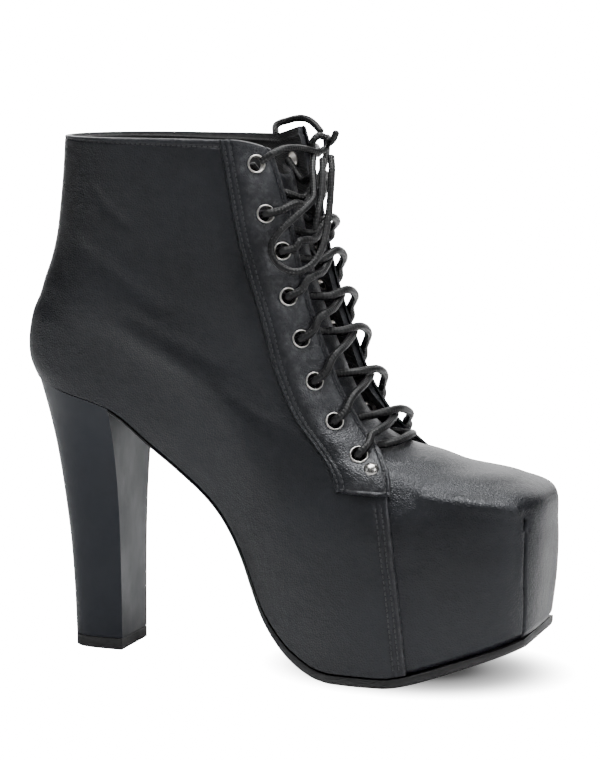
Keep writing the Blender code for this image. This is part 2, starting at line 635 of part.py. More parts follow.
def punch(thing, centre, normal, radius):
    """Punches a round hole along a normal through a wall."""
    bpy_mesh = bpy.data.meshes.new("punch")
    form = bmesh.new()
    bmesh.ops.create_cone(form, cap_ends=True, segments=EYELET_SIDES, radius1=radius,
                          radius2=radius, depth=0.016, matrix=turn_about(centre, normal))
    form.to_mesh(bpy_mesh)
    form.free()
    cutter = bpy.data.objects.new("punch", bpy_mesh)
    bpy.context.scene.collection.objects.link(cutter)
    cut(thing, cutter)


def build_eyelets(upper, eyestays):
    """Eyelets through each facing and the wall under it, and a stud at each facing's foot."""
    seat = GAP + QUARTER_STEP + EYESTAY_THICKNESS + 0.0007
    inside = -(UPPER_WALL + 0.0005)
    for label, side in SIDES.items():
        for number, (centre, normal) in enumerate(eyelet_places(side), 1):
            punch(upper, centre, normal, EYELET_BARREL + GAP)
            punch(eyestays[label], centre, normal, EYELET_BARREL + GAP)
            profile = [(EYELET_BORE, inside - EYELET_FLARE), (EYELET_BARREL, inside),
                       (EYELET_BARREL, seat), (EYELET_RADIUS, seat + EYELET_FLARE),
                       (EYELET_BORE, seat + EYELET_LIP)]
            turned(f"eyelet_{label}_{number}", profile, centre, normal, NICKEL)
        x, z = side_view([STUD])[0]
        centre, normal = place_in_side_view(side, x, z)
        arc = [(STUD_RADIUS * math.cos(a), seat + STUD_HEIGHT * math.sin(a))
               for a in np.linspace(0, math.pi / 2, 5)]
        turned(f"stud_{label}", [(0.0, seat)] + arc, centre, normal, NICKEL)


def half_outline(ring, inset, back, front):
    """x stations and half-widths of a plate inside (or outside) a ring's outline.

    All plates share their middle stations, so that their faces run parallel, and each has close
    ones where an end is rounded.
    """
    ring_front, ring_back = ring_ends(ring)
    low, high = max(back, ring_back + inset), min(front, ring_front - inset)
    end_steps = np.array([0.0, 0.0004, 0.0016, 0.0036, 0.0064])
    shared = np.linspace(-HEEL_REACH, TOE_REACH, PLAN_STATIONS)
    shared = shared[(shared > low + 0.009) & (shared < high - 0.009)]
    x = np.concatenate([low + end_steps, shared, high - end_steps[::-1]])
    scale = (ring_front - ring_back) / (ring_front - ring_back - 2 * inset)
    middle = (ring_front + ring_back) / 2
    half = ring_half_width(ring, middle + (x - middle) * scale)
    tip = 0.0015
    return x, np.maximum(half - inset, tip)


def build_plate(name, stations, top, bottom, finish, edge_rise=0.0):
    """A sole layer between two height curves, with x stations and half-widths from its outline."""
    x, half = stations
    centre = centre_line(x)
    lanes = (-1.0, -0.6, 0.6, 1.0)
    upper = np.stack([np.stack([x, centre + lane * half, top(x)], 1) for lane in lanes], 1)
    lower = np.stack([np.stack([x, centre + lane * half, bottom(x)], 1) for lane in lanes], 1)
    lower[:, [0, -1], 2] += edge_rise
    points = np.concatenate([upper.reshape(-1, 3), lower.reshape(-1, 3)])
    return make_object(name, points, sheet_faces(len(x), len(lanes)), *finish)


def build_sole():
    """Outsole, covered platform and insole."""
    feather = RINGS[0]
    breast = -HEEL_BREAST + GAP
    inside = UPPER_WALL + 4 * GAP
    build_plate("outsole", half_outline(feather, -OUTSOLE_LIP, breast, TOE_REACH),
                lambda x: feather_line(x) - 2 * GAP * slant(x), ground_line, SOLE_BLACK, OUTSOLE_EDGE_RISE)
    build_plate("platform", half_outline(feather, inside, -0.61 * HEEL_REACH, TOE_REACH),
                lambda x: footbed_line(x) - GAP, feather_line, LINING)
    build_plate("insole", half_outline(feather, inside, -HEEL_REACH, TOE_REACH),
                lambda x: footbed_line(x) + INSOLE_THICKNESS, footbed_line, LINING)


def heel_outline(section, count=9):
    """One section of the heel block: points from the breast round the back, as (x, y) and its share."""
    feather = RINGS[0]
    seat_back = -ring_ends(feather)[1] - 0.0006
    foot_back = HEEL_BREAST + HEEL_FOOT_LENGTH
    back = -(foot_back + (seat_back - foot_back) * section.back)
    front = -HEEL_BREAST
    x = front + (back - front) * np.sin(np.linspace(0, math.pi / 2, count))
    seat_x = front + (-seat_back - front) * (x - front) / (back - front)
    seat_half = ring_half_width(feather, seat_x + 0.0006) - 0.0006
    foot_half = HEEL_FOOT_WIDTH / 2 * (1 - ((x - front) / (back - front)) ** 4) ** 0.30
    half = foot_half + (seat_half - foot_half) * section.spread
    half[-1] = 0.0
    middle = centre_line(x)
    near = np.stack([x, middle - half], 1)
    far = np.stack([x, middle + half], 1)
    return np.concatenate([near, far[-2::-1]])


def build_heel():
    """The block heel, from its seat under the upper to its top piece, and the top piece."""
    low = LIFT_THICKNESS + GAP
    sections = []
    for section in HEEL_SECTIONS:
        plan = heel_outline(section)
        top = feather_line(plan[:, 0]) - 2 * GAP
        sections.append(np.column_stack([plan, low + (top - low) * section.rise]))
    loft = np.array(sections)
    rows, around = loft.shape[:2]
    faces = grid_faces(rows, around, 0, True)
    faces += strip_cap(0, around) + strip_cap((rows - 1) * around, around)
    make_object("heel", loft.reshape(-1, 3), faces, *HEEL_BLACK, smooth_angle=30)
    foot = heel_outline(HEEL_SECTIONS[0])
    around = len(foot)
    points = [(x, y, z) for z in (0.0, LIFT_THICKNESS) for x, y in foot]
    faces = grid_faces(2, around, 0, True) + strip_cap(0, around) + strip_cap(around, around)
    make_object("heel_lift", points, faces, *SOLE_BLACK, smooth_angle=30)


def strip_cap(first, around):
    """Faces across an outline that runs from one front corner round the back to the other."""
    half = around // 2
    faces = [(first + i, first + i + 1, first + around - 2 - i, first + around - 1 - i)
             for i in range(half - 1)]
    return faces + [(first + half - 1, first + half, first + half + 1)]


def build_tongue():
    """The tongue: a sheet under the throat, sunk behind the laces and tucked under the vamp."""
    rows = np.linspace(0.405, 0.955, 15)
    lanes = np.linspace(-1, 1, 9)
    share_half = TONGUE_HALF_WIDTH / half_girth(rows)
    sunk = smooth_through(rows, [(0.40, 0.0), (0.46, 0.12), (0.54, 1.0), (1.0, 1.0)])
    row, lane = np.meshgrid(rows, lanes, indexing="ij")
    base = UPPER_WALL + 2 * GAP
    skins = []
    for extra in (0.0, TONGUE_THICKNESS):
        inset = base + TONGUE_SINK * sunk[:, None] + extra + 0 * lane
        points = np.empty(row.shape + (3,))
        share = 1 - np.abs(lane) * share_half[:, None]
        both = {side: sample(side, row, share, -inset)[0] for side in (LATERAL, MEDIAL)}
        for side in (LATERAL, MEDIAL):
            mask = lane * side >= 0
            points[mask] = both[side][mask]
        points[..., 2] = (both[LATERAL][..., 2] + both[MEDIAL][..., 2]) / 2
        skins.append(points)
    points = np.concatenate([skin.reshape(-1, 3) for skin in skins])
    make_object("tongue", points, sheet_faces(len(rows), len(lanes)), *BLACK_LEATHER)


def half_girth(rows):
    """Length of half the girth at shares up the wall."""
    index = np.clip(np.rint(np.asarray(rows) * (DENSE - 1)).astype(int), 0, DENSE - 1)
    return np.linalg.norm(np.diff(GRID[index], axis=1), axis=2).sum(axis=1)


def build_tube(name, points, radius, sides=LACE_SIDES):
    """A round tube with flat ends along a path."""
    path = np.array(points, float)
    ahead = np.gradient(path, axis=0)
    ahead /= np.linalg.norm(ahead, axis=1)[:, None]
    side = np.cross(ahead[0], (0.0, 0.0, 1.0))
    rings = []
    for centre, forward in zip(path, ahead):
        side = side - forward * np.dot(side, forward)
        side /= np.linalg.norm(side)
        other = np.cross(forward, side)
        angle = np.arange(sides) * 2 * math.pi / sides
        rings.append(centre + radius * (np.cos(angle)[:, None] * side + np.sin(angle)[:, None] * other))
    count = len(path)
    faces = grid_faces(count, sides, 0, True)
    faces += [tuple(range(sides)), tuple(range(count * sides - 1, (count - 1) * sides - 1, -1))]
    return make_object(name, np.concatenate(rings), faces, *LACE_BLACK)


def throat_edge(row):
    """Distance round the girth from the front of a row to the facing's edge."""
    index = int(round(row * (DENSE - 1)))
    section = GRID[index]
    up = (section[:, 2] - THROAT_FOOT) / (COLLAR_HEIGHT - THROAT_FOOT)
    gap = smooth_through(up, EYESTAY_LINE) * THROAT_GAP / 2
    front = np.nonzero(section[:, 1] > gap)[0].max()
    return (1 - front / (DENSE - 1)) * half_girth(np.array([row]))[0]


def throat_point(row, across, lift):
    """A point over the throat: a height up the wall, a distance across it and a lift off it."""
    side = LATERAL if across < 0 else MEDIAL
    share = 1 - abs(across) / half_girth(np.array([row]))[0]
    return sample(side, np.array(row), np.array(share), np.array(lift))[0]


def row_at(z, side=LATERAL, share=0.80):
    """How far up the wall a height lies, near the throat's edge."""
    points = SURFACE[side][0]
    column = points[:, int(share * (DENSE - 1)), 2]
    return float(np.interp(z, column, np.linspace(0, 1, DENSE)))


def build_laces():
    """The bar over the vamp and the crossings up the throat, each one solid."""
    heights = [rise * COLLAR_HEIGHT for _, rise in reversed(EYELETS)]
    radius = LACE_DIAMETER / 2
    bar_row = row_at(LACE_BAR_HEIGHT, share=0.93)
    bar = [throat_point(bar_row, u * LACE_BAR_HALF, radius + 3 * GAP + 0.0008 * (1 - u * u))
           for u in np.linspace(-1, 1, 7)]
    build_tube("lace_bar", bar, radius)
    for number in range(1, len(EYELETS)):
        low, high = row_at(max(heights[number - 1], LACE_FIRST_HEIGHT)), row_at(heights[number])
        strands = []
        for turn in (1.0, -1.0):
            path = []
            for across, rise, lift in LACE_STRAND:
                row = low + (high - low) * rise
                path.append(throat_point(row, turn * across * throat_edge(row), lift * LACE_DIAMETER))
            strands.append(build_tube(f"lace_crossing_{number}", path, radius))
        cut(strands[0], strands[1], "UNION")
        strands[0].name = f"lace_crossing_{number}"


def build_cord(name, points):
    """A free cord of the bow."""
    curve = bpy.data.curves.new(name, "CURVE")
    curve.dimensions = "3D"
    curve.bevel_depth = LACE_DIAMETER / 2
    curve.bevel_resolution = 2
    curve.use_fill_caps = True
    spline = curve.splines.new("POLY")
    spline.points.add(len(points) - 1)
    for spot, (x, y, z) in zip(spline.points, points):
        spot.co = (x, y, z, 1.0)
    thing = bpy.data.objects.new(name, curve)
    bpy.context.scene.collection.objects.link(thing)
    colour, roughness = LACE_BLACK
    material = bpy.data.materials.new(name)
    material.use_nodes = True
    shader = material.node_tree.nodes["Principled BSDF"]
    shader.inputs["Base Color"].default_value = (*colour, 1.0)
    shader.inputs["Roughness"].default_value = roughness
    curve.materials.append(material)
    return thing


def main():
    """Builds the boot piece by piece."""
    clear_scene()
    upper = build_upper()
    cut(upper, front_view_prism("throat", THROAT_LINE, 0.0, 1.28, -0.6 * HEEL_REACH, 2 * TOE_REACH))
    eyestays = {label: build_eyestay(f"eyestay_{label}", side) for label, side in SIDES.items()}
    build_eyelets(upper, eyestays)
    build_sole()
    build_heel()
    build_tongue()
    build_laces()
    for name, points in BOW.items():
        build_cord(name, points)


main()
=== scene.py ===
"""Looks of a right lace up ankle boot on a covered platform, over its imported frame.

Metres. +X runs to the toe, +Y to the wearer's left (the inner side of a right boot), +Z up.
"""
import logging
import math
from dataclasses import dataclass
from enum import Enum

import bpy
import numpy as np
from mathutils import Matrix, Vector


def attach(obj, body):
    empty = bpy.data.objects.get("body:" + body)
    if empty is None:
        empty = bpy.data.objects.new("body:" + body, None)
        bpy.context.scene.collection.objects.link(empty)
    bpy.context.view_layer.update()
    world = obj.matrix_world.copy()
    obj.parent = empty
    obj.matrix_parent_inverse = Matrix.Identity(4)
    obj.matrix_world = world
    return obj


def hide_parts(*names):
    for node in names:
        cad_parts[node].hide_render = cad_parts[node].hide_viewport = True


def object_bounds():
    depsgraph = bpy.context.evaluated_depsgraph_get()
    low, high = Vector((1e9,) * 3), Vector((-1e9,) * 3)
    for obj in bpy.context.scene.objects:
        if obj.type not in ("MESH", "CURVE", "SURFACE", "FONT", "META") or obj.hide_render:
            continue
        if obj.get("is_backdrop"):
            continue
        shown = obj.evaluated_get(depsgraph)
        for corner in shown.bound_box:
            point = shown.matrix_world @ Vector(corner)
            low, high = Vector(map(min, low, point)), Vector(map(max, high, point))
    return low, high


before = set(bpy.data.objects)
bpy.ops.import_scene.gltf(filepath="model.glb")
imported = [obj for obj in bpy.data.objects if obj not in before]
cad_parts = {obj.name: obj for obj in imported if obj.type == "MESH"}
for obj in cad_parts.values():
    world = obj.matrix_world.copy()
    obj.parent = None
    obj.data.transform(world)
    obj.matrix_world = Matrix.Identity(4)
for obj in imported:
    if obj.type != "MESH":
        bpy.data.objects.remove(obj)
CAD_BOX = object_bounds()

LOG = logging.getLogger("ankle_boot")


class Side(Enum):
    """The two sides of the boot: the sign of y that each lies on."""

    LATERAL = -1.0
    MEDIAL = 1.0

    @property
    def label(self) -> str:
        """The side's name in lower case, as the CAD nodes spell it."""
        return self.name.lower()


@dataclass(frozen=True)
class LastSizes:
    """Driving sizes of the last and the boot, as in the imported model, in metres."""

    toe_reach: float = 0.0775
    heel_reach: float = 0.1705
    heel_height: float = 0.130
    toe_box_height: float = 0.0868
    collar_height: float = 0.240
    toe_spring: float = 0.0215
    toe_bend: float = 0.20
    flat_spot: float = 0.024
    seat_width: float = 0.060
    waist_width: float = 0.058
    ball_width: float = 0.088
    toe_width: float = 0.074
    collar_width: float = 0.072
    toe_swing: float = 0.003
    outsole_forefoot: float = 0.0055
    outsole_toe: float = 0.0042
    outsole_arch: float = 0.0024
    platform_top: float = 0.048
    corner_drop: float = 0.0075
    corner_lift: float = 0.0060
    corner_start: float = 0.72


@dataclass(frozen=True)
class Ring:
    """One ring round the boot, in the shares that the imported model's source explains."""

    front_x: float
    front_toe: float
    front_leg: float
    back_x: float
    back_rise: float
    follow: float
    leg: float
    seat: float
    waist: float
    ball: float
    toe: float
    back_round: float
    front_round: float
    front_length: float


RINGS = (
    Ring(0.970, 0.000, 0.000, 0.975, 0.000, 1.00, 0.00, 0.97, 0.95, 0.965, 0.93, 2.3, 3.2, 0.62),
    Ring(0.996, 0.540, 0.000, 0.995, 0.064, 0.90, 0.00, 1.00, 1.06, 1.000, 0.99, 2.3, 3.3, 0.62),
    Ring(1.000, 0.790, 0.000, 1.000, 0.127, 0.75, 0.00, 1.02, 1.14, 1.000, 1.00, 2.2, 3.2, 0.62),
    Ring(0.985, 0.980, 0.000, 0.994, 0.200, 0.60, 0.00, 1.04, 1.20, 0.965, 0.94, 2.2, 3.0, 0.75),
    Ring(0.830, 1.000, 0.033, 0.984, 0.264, 0.45, 0.05, 1.05, 1.22, 0.880, 0.80, 2.2, 2.4, 1.10),
    Ring(0.530, 1.000, 0.061, 0.966, 0.336, 0.30, 0.15, 1.06, 1.21, 0.820, 0.64, 2.1, 2.1, 1.35),
    Ring(0.233, 1.000, 0.123, 0.951, 0.409, 0.20, 0.30, 1.05, 1.16, 0.840, 0.66, 2.1, 2.0, 1.40),
    Ring(0.021, 1.000, 0.228, 0.934, 0.491, 0.12, 0.48, 1.02, 1.10, 0.880, 0.72, 2.0, 2.0, 1.25),
    Ring(-0.070, 1.000, 0.406, 0.917, 0.591, 0.06, 0.66, 0.98, 1.04, 0.930, 0.78, 2.0, 2.0, 1.15),
    Ring(-0.141, 1.000, 0.621, 0.904, 0.727, 0.02, 0.82, 0.95, 1.00, 0.960, 0.84, 2.0, 2.0, 1.05),
    Ring(-0.182, 1.000, 0.817, 0.894, 0.864, 0.00, 0.93, 0.95, 1.00, 0.980, 0.88, 2.0, 2.0, 1.00),
    Ring(-0.217, 1.000, 1.000, 0.887, 1.000, 0.00, 1.00, 0.96, 1.00, 0.990, 0.90, 2.0, 2.0, 1.00),
)

# Underside of the outsole behind the flat spot: (share of heel reach, share of heel height).
ARCH_LINE = (
    (1.000, 0.992), (0.867, 0.935), (0.722, 0.876), (0.598, 0.757), (0.521, 0.680), (0.452, 0.604),
    (0.410, 0.545), (0.369, 0.465), (0.335, 0.375), (0.305, 0.275), (0.276, 0.190), (0.235, 0.115),
    (0.194, 0.065), (0.147, 0.028), (0.107, 0.008),
)

# Underside of the insole: (share of heel or toe reach, share from platform top to heel height).
FOOTBED_LINE = (
    (-1.000, 1.000), (-0.867, 0.940), (-0.722, 0.862), (-0.587, 0.705), (-0.469, 0.540),
    (-0.352, 0.372), (-0.235, 0.210), (-0.117, 0.075), (0.000, 0.000), (0.529, 0.000), (1.000, 0.120),
)

# Eyelets from the collar down, and the stud: (share of heel or toe reach, share of collar height).
EYELETS = (
    (-0.301, 0.954), (-0.275, 0.863), (-0.236, 0.794), (-0.215, 0.710),
    (-0.179, 0.633), (-0.141, 0.555), (-0.083, 0.481), (-0.007, 0.423),
)
STUD = (0.072, 0.398)

# Outlines on the surface: (share up the wall, share of the half girth from the back).
VAMP_SEAM = (
    (0.000, 0.768), (0.090, 0.7506), (0.170, 0.7373), (0.250, 0.7281), (0.285, 0.7334), (0.318, 0.7498),
)
FACING_FRONT = (
    (0.318, 0.755), (0.349, 0.779), (0.398, 0.817), (0.455, 0.856), (0.499, 0.873), (0.560, 0.884),
    (0.620, 0.883), (0.700, 0.877), (0.780, 0.876), (0.860, 0.873), (0.926, 0.863), (0.975, 0.852),
    (1.000, 0.842),
)
FACING_BACK = (
    (0.331, 0.671), (0.360, 0.682), (0.396, 0.693), (0.442, 0.705), (0.484, 0.713), (0.530, 0.720),
    (0.596, 0.725), (0.678, 0.725), (0.764, 0.716), (0.843, 0.705), (0.926, 0.698), (1.000, 0.693),
)

# The bow, in metres: the knot over the top of the throat, a loop over each flap and two ends.
BOW = {
    "lace_knot": (
        (-0.0454, -0.0330, 0.2308), (-0.0414, -0.0312, 0.2338), (-0.0377, -0.0260, 0.2359),
        (-0.0346, -0.0190, 0.2361), (-0.0319, -0.0110, 0.2349), (-0.0296, -0.0045, 0.2338),
        (-0.0270, -0.0005, 0.2355), (-0.0272, 0.0010, 0.2392), (-0.0305, -0.0005, 0.2408),
        (-0.0328, -0.0025, 0.2380), (-0.0335, 0.0010, 0.2340), (-0.0340, 0.0080, 0.2322),
        (-0.0365, 0.0150, 0.2330), (-0.0400, 0.0225, 0.2345), (-0.0435, 0.0295, 0.2345),
    ),
    "lace_loop_lateral": (
        (-0.0305, -0.0079, 0.2319), (-0.0290, -0.0130, 0.2258), (-0.0271, -0.0170, 0.2198),
        (-0.0259, -0.0210, 0.2143), (-0.0274, -0.0260, 0.2107), (-0.0312, -0.0310, 0.2061),
        (-0.0358, -0.0352, 0.2010), (-0.0391, -0.0378, 0.1950), (-0.0381, -0.0390, 0.1894),
        (-0.0336, -0.0387, 0.1847), (-0.0275, -0.0360, 0.1831), (-0.0224, -0.0320, 0.1862),
        (-0.0196, -0.0270, 0.1929), (-0.0192, -0.0220, 0.2009), (-0.0195, -0.0175, 0.2098),
        (-0.0200, -0.0140, 0.2189), (-0.0208, -0.0105, 0.2262), (-0.0226, -0.0064, 0.2318),
    ),
    "lace_loop_medial": (
        (-0.0312, 0.0040, 0.2425), (-0.0348, 0.0068, 0.2452), (-0.0386, 0.0095, 0.2472),
        (-0.0432, 0.0125, 0.2480), (-0.0484, 0.0170, 0.2475), (-0.0541, 0.0225, 0.2463),
        (-0.0602, 0.0290, 0.2449), (-0.0651, 0.0365, 0.2425), (-0.0662, 0.0415, 0.2370),
        (-0.0640, 0.0425, 0.2290), (-0.0590, 0.0418, 0.2215), (-0.0520, 0.0405, 0.2165),
        (-0.0445, 0.0375, 0.2190), (-0.0405, 0.0335, 0.2248), (-0.0371, 0.0280, 0.2305),
        (-0.0345, 0.0215, 0.2360), (-0.0325, 0.0150, 0.2385), (-0.0300, 0.0095, 0.2395),
        (-0.0290, 0.0050, 0.2388),
    ),
    "lace_end_lateral": (
        (-0.0264, -0.0072, 0.2306), (-0.0248, -0.0115, 0.2245), (-0.0238, -0.0155, 0.2180),
        (-0.0232, -0.0188, 0.2125), (-0.0233, -0.0222, 0.2070), (-0.0238, -0.0238, 0.2013),
    ),
    "lace_end_medial": (
        (-0.0252, -0.0015, 0.2377), (-0.0226, -0.0038, 0.2394), (-0.0210, -0.0042, 0.2425),
    ),
}


def smooth_through(x: np.ndarray, points: tuple) -> np.ndarray:
    """A smooth curve through (x, y) points.

    Cubic pieces, each point's slope the harmonic mean of its two chords, so none overshoots.

    Args:
        x: Where to take the curve.
        points: The (x, y) points.

    Returns:
        The curve's heights at x.
    """
    xs, ys = np.array(points, float).T
    order = np.argsort(xs)
    xs, ys = xs[order], ys[order]
    steps = np.diff(ys) / np.diff(xs)
    before, after = steps[:-1], steps[1:]
    total = np.where(before + after == 0, 1, before + after)
    slopes = np.empty_like(ys)
    slopes[1:-1] = np.where(before * after > 0, 2 * before * after / total, 0)
    slopes[0], slopes[-1] = steps[0], steps[-1]
    x = np.clip(np.asarray(x, float), xs[0], xs[-1])
    i = np.clip(np.searchsorted(xs, x) - 1, 0, len(xs) - 2)
    h = xs[i + 1] - xs[i]
    t = (x - xs[i]) / h
    return ((2 * t**3 - 3 * t**2 + 1) * ys[i] + (t**3 - 2 * t**2 + t) * h * slopes[i]
            + (3 * t**2 - 2 * t**3) * ys[i + 1] + (t**3 - t**2) * h * slopes[i + 1])


def ease(x: np.ndarray, low: float, high: float) -> np.ndarray:
    """A soft step from 0 at low to 1 at high: 3t^2 - 2t^3."""
    t = np.clip((np.asarray(x, float) - low) / (high - low), 0, 1)
    return t * t * (3 - 2 * t)


class LastSurface:
    """The boot's outer surface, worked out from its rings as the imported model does."""

    def __init__(self, sizes: LastSizes, rings: tuple = RINGS, dense: int = 361) -> None:
        """Works out both sides.

        Args:
            sizes: Driving sizes.
            rings: Rings from the feather edge to the collar.
            dense: Points each way in the dense grid of a side.
        """
        self.sizes = sizes
        self.rings = rings
        self.dense = dense
        self.half = self._half_grid()
        self.sides = {side: self._side_grid(side) for side in Side}
        lengths = np.linalg.norm(np.diff(self.half, axis=1), axis=2).sum(axis=1)
        self.girths = lengths

    def along(self, share: float) -> float:
        """Distance from the origin for a share of the toe reach (ahead) or heel reach (behind)."""
        return share * (self.sizes.toe_reach if share > 0 else self.sizes.heel_reach)

    def ground(self, x: np.ndarray) -> np.ndarray:
        """Height of the outsole's underside: flat at the ball, then toe spring and arch.

        Ahead of the flat spot it rises as sqrt(t^2 + b^2) - b, with t from 0 to 1 at the toe and b the
        bend. Behind it, it runs smoothly through ARCH_LINE.

        Args:
            x: Distances ahead of the origin.

        Returns:
            Heights there.
        """
        s = self.sizes
        x = np.asarray(x, float)
        half_flat = s.flat_spot / 2
        ahead = np.clip((x - half_flat) / (s.toe_reach - half_flat), 0, None)
        arch = [(-a * s.heel_reach, r * s.heel_height) for a, r in ARCH_LINE] + [(-half_flat, 0.0)]
        behind = smooth_through(np.minimum(x, -half_flat), arch)
        bend = s.toe_bend
        rise = (np.sqrt(ahead**2 + bend**2) - bend) / (math.sqrt(1 + bend**2) - bend)
        return np.where(x > 0, s.toe_spring * rise, behind)

    def slant(self, x: np.ndarray) -> np.ndarray:
        """Upright length of one unit measured square to the sole line."""
        slope = (self.ground(x + 0.002) - self.ground(x - 0.002)) / 0.004
        return np.sqrt(1 + slope**2)

    def feather(self, x: np.ndarray) -> np.ndarray:
        """Height of the upper's lower edge: the ground plus the outsole, measured square to it.

        Args:
            x: Distances ahead of the origin.

        Returns:
            Heights there.
        """
        s = self.sizes
        x = np.asarray(x, float)
        blend = ease(x / s.heel_reach, -0.36, -0.14)
        forefoot = s.outsole_forefoot + (s.outsole_toe - s.outsole_forefoot) * np.clip(x / s.toe_reach, 0, 1)
        return self.ground(x) + (s.outsole_arch + (forefoot - s.outsole_arch) * blend) * self.slant(x)

    def footbed(self, x: np.ndarray) -> np.ndarray:
        """Height of the insole's underside: smooth through FOOTBED_LINE, never under the feather.

        Args:
            x: Distances ahead of the origin.

        Returns:
            Heights there.
        """
        s = self.sizes
        rise = s.heel_height - s.platform_top
        points = [(self.along(a), s.platform_top + r * rise) for a, r in FOOTBED_LINE]
        return np.maximum(smooth_through(x, points), self.feather(x))

    def centre(self, x: np.ndarray) -> np.ndarray:
        """Sideways swing of the boot's middle: the toe's share squared, and a sine squared behind.

        Args:
            x: Distances ahead of the origin.

        Returns:
            The swing there.
        """
        x = np.asarray(x, float)
        toe = np.clip(x / self.sizes.toe_reach, 0, None)
        waist = np.clip(-x / self.sizes.heel_reach, 0, 1)
        return self.sizes.toe_swing * (toe**2 + 0.35 * np.sin(math.pi * waist) ** 2)

    def ring_ends(self, ring: Ring) -> tuple[float, float]:
        """Front and back of a ring along x."""
        return self.along(ring.front_x), -ring.back_x * self.sizes.heel_reach

    def ring_half_width(self, ring: Ring, x: np.ndarray) -> np.ndarray:
        """Half-width of a ring, smooth through its named widths.

        Each end is closed by a superellipse, (1 - t^p)^(1/p).

        Args:
            ring: The ring.
            x: Distances ahead of the origin.

        Returns:
            Half-widths there.
        """
        s = self.sizes
        front, back = self.ring_ends(ring)
        length = front - back
        at = np.clip((np.asarray(x, float) - back) / length, 0, 1)
        named = (s.seat_width, s.waist_width, s.ball_width, s.toe_width)
        shares = (ring.seat, ring.waist, ring.ball, ring.toe)
        seat, waist, ball, toe = ((size * (1 - ring.leg) + s.collar_width * ring.leg) / 2 * share
                                  for size, share in zip(named, shares))
        stops = ((0.0, seat), (0.16, seat), (0.40, waist), (0.69, ball), (0.95, toe), (1.0, toe))
        body = smooth_through(at, stops)
        back_end = np.clip(1 - at * length / (seat * 1.05), 0, 1)
        front_end = np.clip(1 - (1 - at) * length / (toe * ring.front_length * 1.25), 0, 1)
        return (body * (1 - back_end**ring.back_round) ** (1 / ring.back_round)
                * (1 - front_end**ring.front_round) ** (1 / ring.front_round))

    def ring_height(self, ring: Ring, x: np.ndarray) -> np.ndarray:
        """Height of a ring: a line between its ends that dips with the sole line.

        Args:
            ring: The ring.
            x: Distances ahead of the origin.

        Returns:
            Heights there.
        """
        s = self.sizes
        front, back = self.ring_ends(ring)
        at_front, at_back = float(self.feather(front)), float(self.feather(back))
        front_z = ring.front_toe * s.toe_box_height + ring.front_leg * (s.collar_height - s.toe_box_height)
        if ring.front_toe == 0:
            front_z = at_front
        back_z = at_back * (1 - ring.back_rise) + s.collar_height * ring.back_rise
        front_rest, back_rest = front_z - ring.follow * at_front, back_z - ring.follow * at_back
        share = (x - back) / (front - back)
        return ring.follow * self.feather(x) + back_rest + share * (front_rest - back_rest)

    def _ring_points(self, ring: Ring, shares: np.ndarray) -> np.ndarray:
        """Points of half a ring.

        Args:
            ring: The ring.
            shares: Shares of its girth, 0 at the back and 1 at the front.

        Returns:
            The points, [share][x, half-width, z].
        """
        front, back = self.ring_ends(ring)
        x = back + (front - back) * (1 - np.cos(np.linspace(0, math.pi, 900))) / 2
        points = np.stack([x, self.ring_half_width(ring, x), self.ring_height(ring, x)], 1)
        girth = np.concatenate([[0], np.cumsum(np.linalg.norm(np.diff(points, axis=0), axis=1))])
        return np.stack([np.interp(shares, girth / girth[-1], points[:, k]) for k in range(3)], 1)

    def _half_grid(self) -> np.ndarray:
        """Half the surface: each column is a smooth cubic through the rings.

        Returns:
            The grid, [row][column][x, half-width, z].
        """
        shares = np.linspace(0, 1, self.dense)
        rings = np.array([self._ring_points(ring, shares) for ring in self.rings])
        steps = np.linalg.norm(np.diff(rings, axis=0), axis=2)
        run = np.concatenate([np.zeros((1, self.dense)), np.cumsum(steps, axis=0)])
        gaps = np.diff(run, axis=0)[..., None]
        chords = np.diff(rings, axis=0) / gaps
        slopes = np.empty_like(rings)
        slopes[1:-1] = (chords[:-1] * gaps[1:] + chords[1:] * gaps[:-1]) / (gaps[:-1] + gaps[1:])
        slopes[0], slopes[-1] = chords[0], chords[-1]
        grid = np.empty((self.dense, self.dense, 3))
        for j in range(self.dense):
            at = shares * run[-1, j]
            i = np.clip(np.searchsorted(run[:, j], at, side="right") - 1, 0, len(self.rings) - 2)
            h = (run[i + 1, j] - run[i, j])[:, None]
            t = (at - run[i, j])[:, None] / h
            grid[:, j] = ((2 * t**3 - 3 * t**2 + 1) * rings[i, j] + (t**3 - 2 * t**2 + t) * h * slopes[i, j]
                          + (3 * t**2 - 2 * t**3) * rings[i + 1, j] + (t**3 - t**2) * h * slopes[i + 1, j])
        grid[:, [0, -1], 1] = 0
        return grid

    def _side_grid(self, side: Side) -> tuple[np.ndarray, np.ndarray]:
        """Dense points and outward normals of one side.

        The normal is the cross product of the steps along a row and up a column.

        Args:
            side: The side.

        Returns:
            The points and the unit normals, [row][column][xyz].
        """
        s = self.sizes
        share = np.linspace(0, 1, self.dense)
        corner = np.clip((share - s.corner_start) / (1 - s.corner_start), 0, 1)
        rise = -s.corner_drop * corner**1.6 * 2.2 if side is Side.LATERAL else s.corner_lift * corner * 1.6
        points = self.half.copy()
        points[:, :, 2] += (share**6)[:, None] * np.clip(rise, -s.corner_drop * 1.6, s.corner_lift)[None, :]
        points[:, :, 1] = self.centre(points[:, :, 0]) + side.value * points[:, :, 1]
        normals = np.cross(np.gradient(points, axis=1), np.gradient(points, axis=0)) * -side.value
        normals[:, [0, -1], 1] = 0
        normals /= np.linalg.norm(normals, axis=2)[..., None]
        return points, normals

